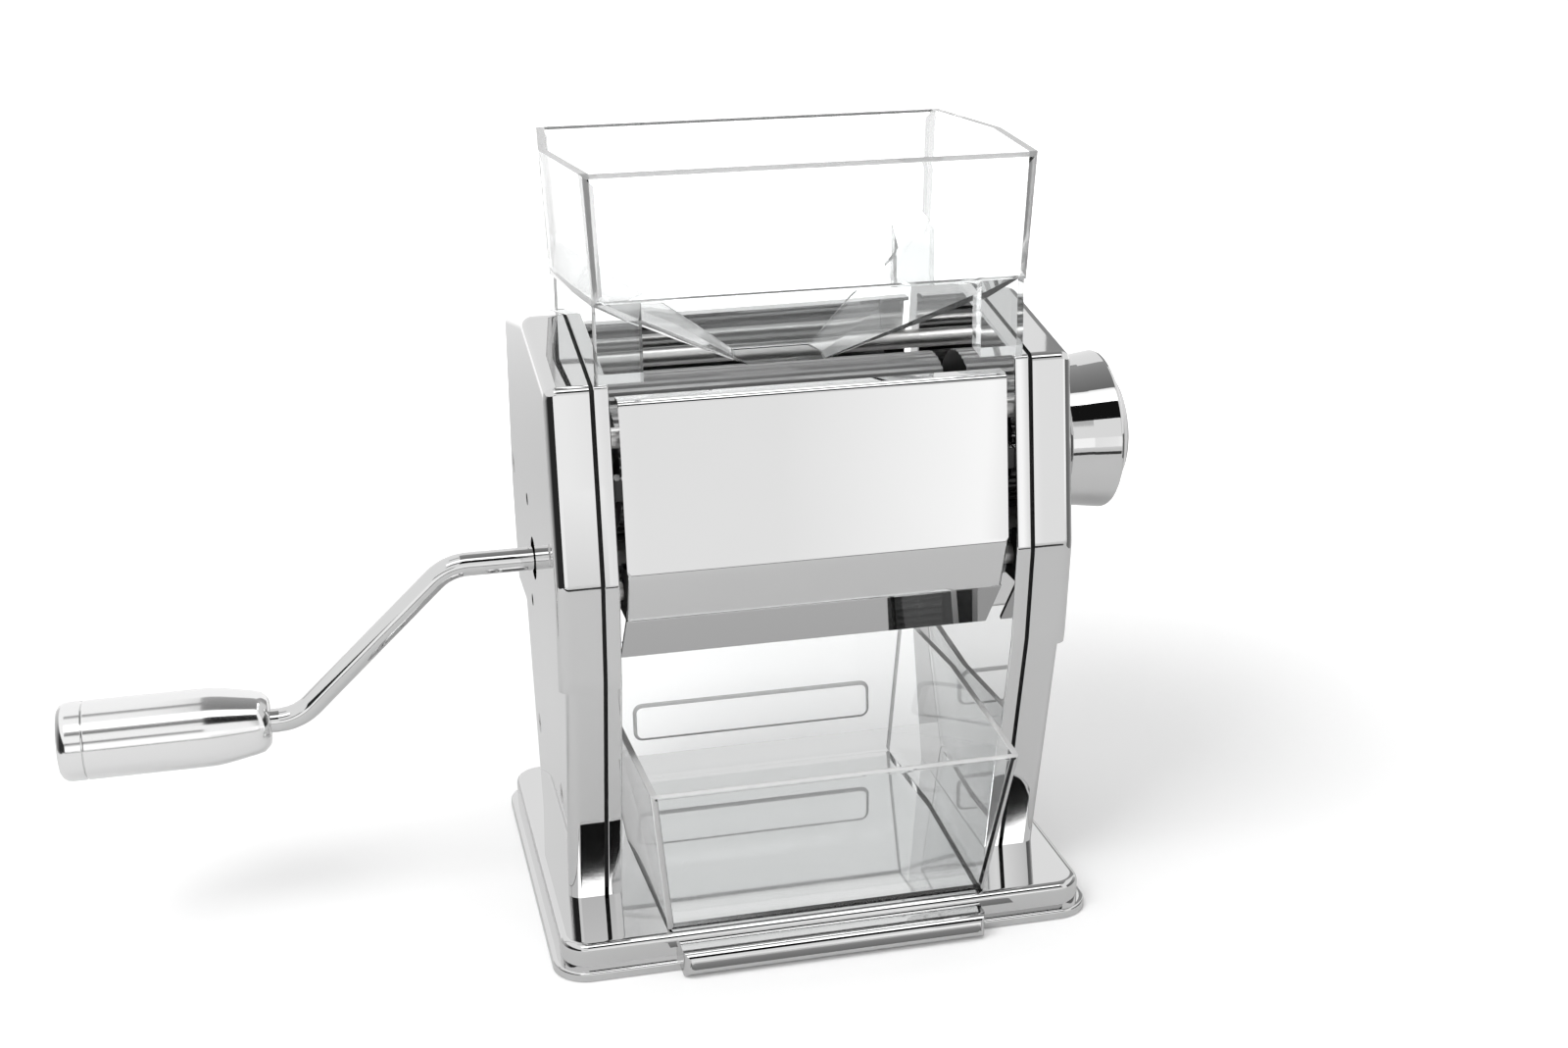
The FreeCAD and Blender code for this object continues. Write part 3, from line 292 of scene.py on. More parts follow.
class Wire:
    # a socket that can stand in a sum
    def __init__(self, tree, socket=None):
        self.tree = tree
        self.socket = socket

    def node(self, kind, settings=None, inputs=None, outlet=0):
        made = self.tree.nodes.new("ShaderNode" + kind)
        for name, value in (settings or {}).items():
            if name == "stops":
                while len(made.color_ramp.elements) < len(value):
                    made.color_ramp.elements.new(1.0)
                for stop, (spot, tone) in zip(made.color_ramp.elements, value):
                    stop.position = spot
                    stop.color = grey(tone)
            else:
                setattr(made, name, value)
        for name, value in (inputs or {}).items():
            if isinstance(value, Wire):
                self.tree.links.new(value.socket, made.inputs[name])
            else:
                made.inputs[name].default_value = value
        return Wire(self.tree, made.outputs[outlet] if len(made.outputs) else None)

    def maths(self, operation, first, second):
        return self.node("Math", {"operation": operation}, {0: first, 1: second})

    def __add__(self, other):
        return self.maths("ADD", self, other)

    def __radd__(self, other):
        return self.maths("ADD", other, self)

    def __sub__(self, other):
        return self.maths("SUBTRACT", self, other)

    def __rsub__(self, other):
        return self.maths("SUBTRACT", other, self)

    def __mul__(self, other):
        return self.maths("MULTIPLY", self, other)

    def __pow__(self, other):
        return self.maths("POWER", self, other)

    def least(self, other):
        return self.maths("MINIMUM", self, other)


def grey(value, warm=0.0):
    return (value + warm, value, value - warm, 1)


def newFinish(name):
    finish = bpy.data.materials.new(name)
    finish.use_nodes = True
    finish.node_tree.nodes.clear()
    pen = Wire(finish.node_tree)
    place = pen.node("TexCoord", outlet="Object")
    return finish, pen, place


def lay(pen, inputs):
    skin = pen.node("BsdfPrincipled", {}, inputs)
    pen.node("OutputMaterial", {}, {"Surface": skin})


def stretched(pen, place, scale, middle=(0, 0, 0)):
    shift = [-m * s for m, s in zip(middle, scale)]
    return pen.node("Mapping", {}, {"Vector": place, "Location": shift, "Scale": scale})


def blended(pen, factor, first, second):
    return pen.node("Mix", {"data_type": "RGBA"}, {0: factor, 6: first, 7: second}, outlet=2)


def noise(pen, place, scale, detail=3.0, rough=0.5):
    # soft spots, from 0 to 1
    return pen.node("TexNoise", {}, {"Vector": place, "Scale": scale, "Detail": detail, "Roughness": rough})


def metalFinish(name, look):
    # plated or machined metal: clouded tone, wiped gloss and a faint wave in the sheet
    finish, pen, place = newFinish(name)
    cloud = noise(pen, place, scale=look["cloud"], detail=4.0)
    wipe = noise(pen, stretched(pen, place, look["wipe"]), scale=1.0, detail=6.0, rough=0.6)
    grain = noise(pen, stretched(pen, place, look["grain"]), scale=1.0, detail=4.0, rough=0.6)
    tone = blended(pen, cloud, look["dark"], look["light"])
    rough = look["gloss"] + wipe * look["wiped"] + grain * look["grained"]
    wave = pen.node("Bump", {}, {"Strength": look["wave"], "Distance": 0.0006, "Height": cloud})
    mark = pen.node("Bump", {}, {"Strength": look["mark"], "Distance": 0.0001, "Height": grain,
                                 "Normal": wave})
    lay(pen, {"Base Color": tone, "Metallic": 1.0, "Roughness": rough, "Normal": mark})
    return finish


def ringFinish(name, look):
    # a face turned in the lathe, its rings about an axis along X
    finish, pen, place = newFinish(name)
    centred = stretched(pen, place, (1, 1, 1), look["middle"])
    rings = pen.node("TexWave", {"wave_type": "RINGS", "rings_direction": "X"},
                     {"Vector": centred, "Scale": look["rings"], "Distortion": 0.6, "Detail": 3.0,
                      "Detail Scale": 4.0})
    cloud = noise(pen, place, scale=60.0, detail=4.0)
    tone = blended(pen, rings * 0.5 + cloud * 0.5, look["dark"], look["light"])
    rough = look["gloss"] + rings * look["ringed"] + cloud * look["clouded"]
    mark = pen.node("Bump", {}, {"Strength": 0.12, "Distance": 0.0001, "Height": rings})
    lay(pen, {"Base Color": tone, "Metallic": 1.0, "Roughness": rough, "Normal": mark})
    return finish


def mouldedFinish(name, look):
    # plain moulded plastic or rubber with a fine skin
    finish, pen, place = newFinish(name)
    cloud = noise(pen, place, scale=look["cloud"], detail=4.0)
    skin = noise(pen, place, scale=look["skin"], detail=2.0)
    tone = blended(pen, cloud, look["dark"], look["light"])
    rough = look["gloss"] + skin * look["skinned"] + cloud * look["clouded"]
    mark = pen.node("Bump", {}, {"Strength": look["mark"], "Distance": 0.0002, "Height": skin})
    lay(pen, {"Base Color": tone, "Roughness": rough, "Normal": mark, "Specular IOR Level": look["shine"]})
    return finish


def clearFinish(name, look):
    # clear moulded plastic: slight flow in the wall, faint handling haze, and painted shade where seen edge
    # on: a dark grey mixed in by facing
    finish, pen, place = newFinish(name)
    flow = noise(pen, stretched(pen, place, look["flow"]), scale=1.0, detail=2.0)
    haze = noise(pen, place, scale=45.0, detail=5.0, rough=0.6)
    tone = blended(pen, haze, look["dark"], look["light"])
    rough = look["gloss"] + haze * look["hazed"]
    wave = pen.node("Bump", {}, {"Strength": 0.04, "Distance": 0.0008, "Height": flow})
    clear = pen.node("BsdfPrincipled", {}, {"Base Color": tone, "Roughness": rough, "Normal": wave,
                                            "IOR": look["bend"], "Transmission Weight": 1.0,
                                            "Coat Weight": look["shine"], "Coat Roughness": 0.02})
    # painted shade for the wall seen edge on
    shade = blended(pen, haze, look["grazingShadeDark"], look["grazingShadeLight"])
    edge = pen.node("BsdfPrincipled", {}, {"Base Color": shade, "Roughness": 0.3, "Specular IOR Level": 0.0})
    facing = pen.node("LayerWeight", {}, {"Blend": 0.5}, outlet="Facing")
    glass = pen.node("MixShader", {}, {0: facing ** look["power"] * look["most"], 1: clear, 2: edge})
    pen.node("OutputMaterial", {}, {"Surface": glass})
    return finish


def edgeShadeFinish(name, look):
    # the polished edge of a clear wall, with painted shade: a grey base colour, partly see-through, for the
    # dark lines seen along its edges
    finish, pen, place = newFinish(name)
    haze = noise(pen, place, scale=60.0, detail=4.0)
    tone = blended(pen, haze, look["dark"], look["light"])
    rough = look["gloss"] + haze * look["hazed"]
    lay(pen, {"Base Color": tone, "Roughness": rough, "IOR": look["bend"],
              "Transmission Weight": look["through"]})
    return finish


chromeLook = {"dark": grey(0.66), "light": grey(0.70), "gloss": 0.012, "wiped": 0.025, "grained": 0.01,
              "cloud": 11.0, "wipe": (30, 30, 9), "grain": (900, 900, 900), "wave": 0.03, "mark": 0.01}
rodLook = dict(chromeLook, wipe=(8, 160, 160), grain=(60, 1500, 1500), mark=0.03)
gripLook = dict(chromeLook, dark=grey(0.86), light=grey(0.90), gloss=0.09, wiped=0.06)
rollerLook = {"dark": grey(0.17), "light": grey(0.24), "gloss": 0.22, "wiped": 0.12, "grained": 0.1,
              "cloud": 25.0, "wipe": (20, 60, 60), "grain": (250, 1400, 1400), "wave": 0.03, "mark": 0.12}
gearLook = dict(rollerLook, dark=grey(0.36), light=grey(0.46), gloss=0.28)
steelLook = dict(rollerLook, dark=grey(0.55, 0.01), light=grey(0.64), gloss=0.2)
brassLook = dict(rollerLook, dark=(0.62, 0.45, 0.2, 1), light=(0.76, 0.58, 0.28, 1))
satinLook = {"middle": (0, -0.029, 0.187), "rings": 620.0, "dark": grey(0.66), "light": grey(0.74),
             "gloss": 0.22, "ringed": 0.08, "clouded": 0.06}
blockLook = {"cloud": 30.0, "skin": 700.0, "dark": grey(0.03), "light": grey(0.05), "gloss": 0.38,
             "skinned": 0.12, "clouded": 0.06, "mark": 0.1, "shine": 0.5}
rubberLook = dict(blockLook, dark=grey(0.02), light=grey(0.035), gloss=0.7, mark=0.3, shine=0.3)
clearLook = {"dark": (0.965, 0.975, 0.975, 1), "light": (0.99, 0.995, 0.995, 1), "flow": (14, 14, 30),
             "gloss": 0.004, "hazed": 0.02, "bend": 1.1, "shine": 0.6,
             "grazingShadeDark": grey(0.14), "grazingShadeLight": grey(0.18), "power": 12.0, "most": 0.8}
# the posts take a grey tint, painted shade that makes them darker than the walls
postShadeLook = dict(clearLook, dark=(0.70, 0.715, 0.715, 1), light=(0.74, 0.75, 0.75, 1), bend=1.42, power=5.0)
# painted shade for the edges of the clear parts: grey and partly see-through
rimShadeLook = {"dark": grey(0.36), "light": grey(0.46), "gloss": 0.06, "hazed": 0.1, "bend": 1.3, "through": 0.3}
cornerShadeLook = dict(rimShadeLook, dark=grey(0.55), light=grey(0.64), bend=1.25, through=0.55)
trayRimShadeLook = dict(rimShadeLook, dark=grey(0.72), light=grey(0.80))
# painted shade: near black and rough, laid on the bottom of the groove and in the gaps beside the plates
gapShadeLook = dict(blockLook, cloud=40.0, skin=900.0, light=grey(0.045), gloss=0.6, shine=0.2)

chrome = metalFinish("chromePlate", chromeLook)
rodMetal = metalFinish("drawnRod", rodLook)
gripMetal = metalFinish("platedGrip", gripLook)
rollerMetal = metalFinish("rollerMetal", rollerLook)
gearSteel = metalFinish("cutGear", gearLook)
plainSteel = metalFinish("zincSteel", steelLook)
bushBrass = metalFinish("turnedBrass", brassLook)
satinFace = ringFinish("turnedFace", satinLook)
bearingBlack = mouldedFinish("bearingBlock", blockLook)
padRubber = mouldedFinish("padRubber", rubberLook)
clearPlastic = clearFinish("clearMoulding", clearLook)
clearPost = clearFinish("clearPost", postShadeLook)
clearRim = edgeShadeFinish("clearRim", rimShadeLook)
clearCorner = edgeShadeFinish("clearCorner", cornerShadeLook)
trayRim = edgeShadeFinish("trayRim", trayRimShadeLook)
dullEdge = mouldedFinish("dullEdge", gapShadeLook)
print("finishes mixed")

# side outline seen along X, y and z from the ridge down to the foot, and the block it is cut from

sideLine = [(0, 241), (66, 229), (74.5, 155), (70, 116), (45, 14)]
sideBlock = {"deep": 90, "high": 245}
legLine = 3  # the outline's last run, down the leg


def outlineCuts(inset=0.0, first=0):
    # planes through the runs of the outline, front and back, from the first run on
    cuts = []
    for (y0, z0), (y1, z1) in list(zip(sideLine, sideLine[1:]))[first:]:
        normal = Vector((0, z0 - z1, y1 - y0)).normalized()
        for side in (-1, 1):
            facing = Vector((0, side * normal.y, normal.z))
            cuts.append((Vector((0, side * y0, z0)) - facing * inset, facing))
    return cuts


def sidePrism(name, inner, outer, low, high=sideBlock["high"], inset=0.0, first=0):
    deep = sideBlock["deep"]
    piece = block(name, (inner, -deep, low), (outer, deep, high))
    cutAway(piece, outlineCuts(inset, first))
    return piece


def onCrease(corner, before, after, reach=7.5, slack=0.03):
    # edges that run along a corner of the outline, also round its outer edge
    leanBefore = Vector((before[1] - corner[1], corner[0] - before[0])).normalized()
    leanAfter = Vector((corner[1] - after[1], after[0] - corner[0])).normalized()
    mitre = (leanBefore + leanAfter).normalized()

    def test(a, b):
        for p in (a, b):
            off = Vector((abs(p.y) - corner[0], p.z - corner[1]))
            if off.length > reach or abs(off.x * mitre.y - off.y * mitre.x) > slack:
                return False
        return True

    return test


def roundCreases(piece, width, low, rings=3):
    # the ridge has the far eave before it
    y, z = sideLine[1]
    line = [(-y, z)] + sideLine
    shape(piece)
    for before, corner, after in zip(line, line[1:], line[2:]):
        if corner[1] > low:
            pick("EDGE", onCrease(corner, before, after))
            bevel(width, rings)
    leave()


def roundOuter(piece, outer, radius, rings):
    # the edge round the outer face, but not along its level bottom
    onFace = edgesAt(x=outer)
    roundEdges(piece, lambda a, b: onFace(a, b) and not near(a.z, b.z), radius, rings, clamp=False)


shell = {"inner": 83.6, "cover": 100.0, "leg": 97.5, "ledge": 112.5, "foot": 14.0, "round": 5.0, "rings": 8,
         "crease": 2.2, "ledgeRound": 1.6, "rim": 4.0, "wall": 2.5, "lap": 1.0, "roomLap": 8.0,
         "roomIn": 80.0, "drillOut": 105.0, "drillDeep": 6.0, "head": 4.1, "headDeep": 1.6, "shank": 2.1,
         "upperScrews": [(60, 165), (-60, 165)], "lowerScrews": [(35, 56), (-35, 56)],
         "crankHole": (-1, 143.365, 8.6), "oilHoles": [(12, 164, 2.5), (12, 121, 2.5)],
         "spindleHole": (-29, 187, 5.05)}


def shellBlank():
    cover, ledge = shell["cover"], shell["ledge"]
    piece = sidePrism("shell", shell["inner"], cover, ledge)
    roundOuter(piece, cover, shell["round"], shell["rings"])
    roundCreases(piece, shell["crease"], ledge)
    roundEdges(piece, edgesAt(x=cover, z=ledge), shell["ledgeRound"], rings=4)
    leg = sidePrism("leg", shell["inner"], shell["leg"], shell["foot"], ledge + shell["lap"], first=legLine)
    roundOuter(leg, shell["leg"], shell["round"], shell["rings"])
    combine(piece, leg, "UNION")
    room = sidePrism("room", shell["roomIn"], cover - shell["wall"], ledge + shell["wall"],
                     inset=shell["rim"])
    combine(piece, room, "DIFFERENCE")
    room = sidePrism("room", shell["roomIn"], shell["leg"] - shell["wall"], shell["foot"] + shell["rim"],
                     ledge + shell["roomLap"], shell["rim"], legLine)
    combine(piece, room, "DIFFERENCE")
    for spots, face in ((shell["upperScrews"], cover), (shell["lowerScrews"], shell["leg"])):
        shanks = [(y, z, shell["shank"]) for y, z in spots]
        heads = [(y, z, shell["head"]) for y, z in spots]
        drill(piece, shanks, shell["roomIn"], shell["drillOut"], sides=24)
        drill(piece, heads, face - shell["headDeep"], shell["drillOut"])
    return piece


shellRight = shellBlank()
shellLeft = mirrored(shellRight, "shellLeft")
shellRight.name = "shellRight"
drillIn = shell["cover"] - shell["drillDeep"]
drill(shellLeft, [shell["crankHole"]] + shell["oilHoles"], -shell["drillOut"], -drillIn)
drill(shellRight, [shell["spindleHole"]], drillIn, shell["drillOut"])
for piece, node in ((shellLeft, "left_shell"), (shellRight, "right_shell")):
    polish(piece)
    fit(piece, "frame", chrome, node)
print("shells done")

cheek = {"inner": 76.5, "plate": 5.6, "land": 1.5, "landIn": 2.5, "crease": 1.2, "edge": 0.8,
         "grooveEdge": 0.4, "rear": (19, 187, 8.05), "lower": (-1, 143.365), "lowerLeft": 10.55,
         "lowerRight": 8.05, "window": ((-42.8, 173.9), (-16.9, 200.1)), "through": (70, 90),
         "ties": [(58, 207), (-58, 207), (58, 148), (-58, 148)], "tieHole": 2.6}


def makeCheek(name, side):
    outer = cheek["inner"] + cheek["plate"]
    piece = sidePrism(name, cheek["inner"], outer, shell["foot"])
    shape(piece)
    pick("FACE", lambda middle, normal: near(middle.x, outer))
    bpy.ops.mesh.inset(thickness=cheek["landIn"] * mm)
    pull(cheek["land"], 0, 0)
    leave()
    roundCreases(piece, cheek["crease"], shell["foot"])
    shape(piece)
    for face, width in ((cheek["inner"], cheek["edge"]), (outer, cheek["grooveEdge"])):
        onFace = edgesAt(x=face)
        pick("EDGE", lambda a, b: onFace(a, b) and isOutline(a) and isOutline(b))
        bevel(width, rings=3)
    leave()
    start, end = cheek["through"]
    low, high = cheek["window"]
    combine(piece, block("window", (start,) + low, (end,) + high), "DIFFERENCE")
    lower = cheek["lowerLeft"] if side < 0 else cheek["lowerRight"]
    drill(piece, [cheek["rear"], cheek["lower"] + (lower,)], start, end, sides=64)
    drill(piece, [(y, z, cheek["tieHole"]) for y, z in cheek["ties"]], start, end, sides=24)
    return swapped(piece, name) if side < 0 else piece


def isOutline(p, slack=0.25):
    # a point that lies on the outline itself, not on the land set in from it
    for point, normal in outlineCuts():
        if abs((p - Vector((p.x, point.y, point.z))).dot(normal)) < slack:
            return True
    return False


def inGroove(middle, normal, sideways=0.1):
    # the edge of the land at the bottom of the groove, painted near black as shade
    foot = cheek["inner"] + cheek["plate"]
    level = foot < abs(middle.x) < foot + cheek["land"]
    return level and abs(normal.x) < sideways and not isInside(middle)


def isInside(p, margin=1):
    # well inside the outline, where the holes are
    for point, normal in outlineCuts(cheek["landIn"] + margin):
        if (p - Vector((p.x, point.y, point.z))).dot(normal) > 0:
            return False
    return True


for name, side, node in (("cheekLeft", -1, "left_cheek"), ("cheekRight", 1, "right_cheek")):
    piece = makeCheek(name, side)
    polish(piece)
    fit(piece, "frame", chrome, node)
    # painted shade at the bottom of the groove
    paint(piece, dullEdge, inGroove)
print("cheeks done")

plate = {"half": 73.4, "thick": 1.5,
         # how far forward and how high, from the upper edge down
         "run": [(58.5, 222.8), (66.5, 222.8), (73, 157.5), (66, 138), (48, 116.5)],
         "folds": [2.2, 1.2, 1.2], "return": 14.0, "sideFold": 1.4, "edge": 0.35,
         "ties": [(-58, 207, 4.4), (-58, 148, 4.4)], "tieSpan": (70, 80),
         "lugLow": (67.8, -69.0, 186), "lugHigh": (76.5, -60.0, 194), "lugEdge": 0.6}


def isFace(p, slack=0.6):
    # on the front run of the plate, not on its side returns
    for (y0, z0), (y1, z1) in zip(plate["run"][1:], plate["run"][2:]):
        if z1 <= p.z <= z0 and near(-p.y, y1 + (y0 - y1) * (p.z - z1) / (z0 - z1), slack):
            return True
    return False


def makePlate(name):
    run = plate["run"]
    letGo()
    (y0, z0), (y1, z1) = run[:2]
    bpy.ops.mesh.primitive_plane_add(size=1, location=(0, -(y0 + y1) / 2 * mm, z0 * mm))
    piece = bpy.context.object
    piece.scale = (2 * plate["half"] * mm, (y1 - y0) * mm, 1)
    piece = settle(name)
    shape(piece)
    pick("EDGE", edgesAt(y=-y1))
    for (y, z), (nextY, nextZ) in zip(run[1:], run[2:]):
        pull(0, y - nextY, nextZ - z)
    for width, (y, z) in zip(plate["folds"], run[1:]):
        pick("EDGE", edgesAt(y=-y, z=z))
        bevel(width, rings=5)
    slack = 0.1
    kneeHigh = run[3][1]
    topHigh = run[1][1] - plate["folds"][0] - slack

    def onSide(a, b):
        level = kneeHigh < min(a.z, b.z) and max(a.z, b.z) < topHigh
        return level and atSide(a, b)

    for side in (-1, 1):
        atSide = edgesAt(x=side * plate["half"])
        pick("EDGE", onSide)
        pull(0, plate["return"], 0)
        pick("EDGE", lambda a, b: onSide(a, b) and isFace(a) and isFace(b))
        bevel(plate["sideFold"], rings=4)
    leave()
    wall = piece.modifiers.new("wall", "SOLIDIFY")
    wall.thickness = plate["thick"] * mm
    wall.offset = -1
    wall.use_even_offset = True
    useModifiers(piece)
    soften(piece, plate["edge"], rings=2, angle=50)
    (x0, y0, z0), (x1, y1, z1) = plate["lugLow"], plate["lugHigh"]
    for low, high in ((-x1, -x0), (x0, x1)):
        lug = block("lug", (low, y0, z0), (high, y1, z1))
        soften(lug, plate["lugEdge"], rings=2)
        combine(piece, lug, "UNION")
    start, end = plate["tieSpan"]
    for low, high in ((-end, -start), (start, end)):
        drill(piece, plate["ties"], low, high, sides=32)
    return piece


def inPlateGap(middle, normal, slack=0.05, sideways=0.95):
    # the lugs and the outsides of the side returns, painted near black as shade in the gap
    side = abs(middle.x) - plate["half"]
    return side > slack or side > -2 * slack and abs(normal.x) > sideways


plateFront = makePlate("plateFront")
plateRear = copied(plateFront, "plateRear")
hold(plateRear)
plateRear.rotation_euler = (0, 0, math.pi)
fixPlace()
for piece, node in ((plateFront, "front_plate"), (plateRear, "rear_plate")):
    polish(piece)
    fit(piece, "frame", chrome, node)
    # painted shade in the gaps beside the plate
    paint(piece, dullEdge, inPlateGap)
print("plates done")

base = {"half": (108.5, 86.0), "low": 0.4, "flange": 4.0, "top": 14.0, "step": 3.0, "corner": 14.0,
        "topRound": 3.0, "flangeRound": 1.2,
        "lip": ((-60.5, -94.5, 0.4), (60.5, -82.0, 11.0)), "lipRound": 4.5,
        "room": ((-103.5, -81.0, -2), (103.5, 81.0, 12)), "roomCorner": 9.0}


def makeBase():
    wide, deep = base["half"]
    piece = block("basePressing", (-wide, -deep, base["low"]), (wide, deep, base["flange"]))
    shape(piece)
    pick("EDGE", lambda a, b: not near(a.z, b.z))
    bevel(base["corner"], rings=14)
    pick("FACE", lambda middle, normal: near(middle.z, base["flange"]))
    bpy.ops.mesh.inset(thickness=base["step"] * mm)
    pull(0, 0, base["top"] - base["flange"])
    pick("EDGE", edgesAt(z=base["top"]))
    bevel(base["topRound"], rings=6)
    pick("EDGE", lambda a, b: onFlangeRim(a) and onFlangeRim(b))
    bevel(base["flangeRound"], rings=4)
    leave()
    lip = block("lip", *base["lip"])
    roundEdges(lip, edgesAt(y=base["lip"][0][1]), base["lipRound"], rings=8)
    combine(piece, lip, "UNION")
    room = block("room", *base["room"])
    roundEdges(room, lambda a, b: not near(a.z, b.z), base["roomCorner"], rings=10)
    combine(piece, room, "DIFFERENCE")
    return piece


def onFlangeRim(p, slack=1):
    # on the flange's outer rim rather than on the wall set in from it
    wide, deep = base["half"]
    past = Vector((max(abs(p.x) - wide + base["corner"], 0), max(abs(p.y) - deep + base["corner"], 0)))
    return near(p.z, base["flange"]) and past.length > base["corner"] - slack


basePressing = makeBase()
polish(basePressing)
fit(basePressing, "frame", chrome, "base_plate")
print("base done")

screw = {"head": 4.0, "thick": 1.6, "shank": 2.0, "long": 19.0, "round": 0.35, "sides": 40,
         "slot": (0.9, 4.4, 0.85), "slotOver": 1.0}


def makeScrew():
    piece = bar("screw", -screw["thick"], 0, 0, 0, screw["head"], screw["sides"])
    shape(piece)
    pick("FACE", lambda middle, normal: near(middle.x, -screw["thick"]))
    bpy.ops.mesh.inset(thickness=(screw["head"] - screw["shank"]) * mm)
    pull(-screw["long"], 0, 0)
    pick("EDGE", edgesAt(x=0))
    bevel(screw["round"], rings=3)
    leave()
    thin, wide, deep = screw["slot"]
    for tall, broad in ((wide, thin), (thin, wide)):
        cutter = block("slot", (-deep, -broad / 2, -tall / 2), (screw["slotOver"], broad / 2, tall / 2))
        combine(piece, cutter, "DIFFERENCE")
    return piece


def placeScrews(name, side):
    made = makeScrew()
    if side < 0:
        made = swapped(made, "screw")
    copies = []
    for spots, face in ((shell["upperScrews"], shell["cover"]), (shell["lowerScrews"], shell["leg"])):
        for y, z in spots:
            twin = copied(made, name)
            twin.location = (side * face * mm, y * mm, z * mm)
            twin.rotation_euler = (math.radians(y + z), 0, 0)  # no two slots alike
            copies.append(twin)
    bpy.data.objects.remove(made)
    letGo()
    for twin in copies:
        twin.select_set(True)
    bpy.context.view_layer.objects.active = copies[0]
    fixPlace()
    bpy.ops.object.join()
    piece = bpy.context.object
    piece.name = name
    return piece


for name, side, node in (("screwsLeft", -1, "left_shell_screws"), ("screwsRight", 1, "right_shell_screws")):
    piece = placeScrews(name, side)
    polish(piece)
    fit(piece, "frame", plainSteel, node)
print("screws done")

knob = {"axis": (-29, 187),
        "body": [(108, 12), (103.6, 26.8), (103.5, 27.5), (103.5, 28.8), (104.2, 29.5), (112.6, 30.0),
                 (113.0, 30.1), (121.6, 31.3), (123.4, 31.5), (124.4, 31.2), (124.9, 30.5), (129.4, 22.3),
                 (129.5, 21.9), (128.8, 21.8)],
        "face": [(128.7, 21.9), (129.7, 21.9), (130.3, 21.2), (130.3, 8.0), (130.0, 7.4)],
        "ring": [(100.0, 25), (101.6, 25), (102.0, 24.6), (102.0, 8), (101.4, 7.4), (100.0, 7.4)],
        "bodyEdge": 0.3, "thinEdge": 0.15, "sides": 128, "smooth": 40}

knobTurned = turned("knobTurned", knob["body"], *knob["axis"], sides=knob["sides"])
soften(knobTurned, knob["bodyEdge"], rings=3, angle=12)
polish(knobTurned, knob["smooth"])
fit(knobTurned, "knob", chrome, "adjust_knob")
knobFace = turned("knobFace", knob["face"], *knob["axis"], sides=knob["sides"])
soften(knobFace, knob["thinEdge"], rings=2, angle=20)
polish(knobFace, knob["smooth"])
fit(knobFace, "knob", satinFace, "knob_cap")
indexPlate = turned("indexPlate", knob["ring"], *knob["axis"], sides=knob["sides"], closed=True)
soften(indexPlate, knob["thinEdge"], rings=2, angle=20)
polish(indexPlate, knob["smooth"])
fit(indexPlate, "frame", chrome, "index_ring")
print("knob done")

crank = {"axis": (-1, 143.365), "radius": 4.7, "start": -98.0, "corner": -134.0, "slope": 43.0,
         "drop": 58.0, "bend": 20.0, "end": -272.6, "key": 8.2, "keyEnd": -74.1, "keyLap": 1.0,
         "keyEdge": 0.5, "sides": 40, "steps": 14, "smooth": 40}


def makeCrank():
    y, high = crank["axis"]
    slope = math.radians(crank["slope"])
    back = crank["bend"] * math.tan(slope / 2)
    low = high - crank["drop"]
    farCorner = crank["corner"] - crank["drop"] / math.tan(slope)
    letGo()
    start = (crank["start"] * mm, y * mm, high * mm)
    bpy.ops.mesh.primitive_circle_add(vertices=crank["sides"], radius=crank["radius"] * mm,
                                      fill_type="NGON", location=start, rotation=(0, math.pi / 2, 0))
    piece = settle("crankRod")
    shape(piece)
    pickAll()
    pull(crank["corner"] + back - crank["start"], 0, 0)
    centre = Vector((crank["corner"] + back, y, high - crank["bend"])) * mm
    bpy.ops.mesh.spin(steps=crank["steps"], angle=slope, center=centre, axis=(0, 1, 0))
    along = crank["drop"] / math.sin(slope) - 2 * back
    pull(-along * math.cos(slope), 0, -along * math.sin(slope))
    centre = Vector((farCorner - back, y, low + crank["bend"])) * mm
    bpy.ops.mesh.spin(steps=crank["steps"], angle=-slope, center=centre, axis=(0, 1, 0))
    pull(crank["end"] - (farCorner - back), 0, 0)
    leave()
    turnOut(piece)
    # the key is six-sided and measured across its flats
    keyStart = crank["start"] - crank["keyLap"]
    key = bar("key", keyStart, crank["keyEnd"], y, high, crank["key"] / math.sqrt(3), sides=6)
    soften(key, crank["keyEdge"], rings=2)
    combine(piece, key, "UNION")
    return piece


crankRod = makeCrank()
polish(crankRod, crank["smooth"])
fit(crankRod, "crank", rodMetal, "crank_rod")

grip = {"axis": (-1, 85.365),
        "barrel": [(-207.3, 4.9), (-207, 7.6), (-207.2, 8.7), (-208, 9.9), (-210, 11.8), (-212.5, 12.5),
                   (-216, 13.2), (-220, 14.0), (-225, 14.9), (-229, 15.35), (-233, 15.4), (-276.4, 15.4),
                   (-277, 14.9), (-277, 9.5), (-272.2, 9.3), (-272.2, 4.9)],
        "cap": [(-277.1, 9.2), (-277, 14.8), (-277.5, 15.4), (-283, 15.4), (-284.6, 15.05), (-286, 14.0),
                (-286.8, 12.6), (-287, 11.0)],
        "smooth": 40}

gripBarrel = turned("gripBarrel", grip["barrel"], *grip["axis"], closed=True)
polish(gripBarrel, grip["smooth"])
fit(gripBarrel, "grip", gripMetal, "crank_grip")
gripCap = turned("gripCap", grip["cap"], *grip["axis"])
polish(gripCap, grip["smooth"])
fit(gripCap, "grip", gripMetal, "grip_end_cap")
print("crank and grip done")

# clear hopper and tray, both six-sided in plan

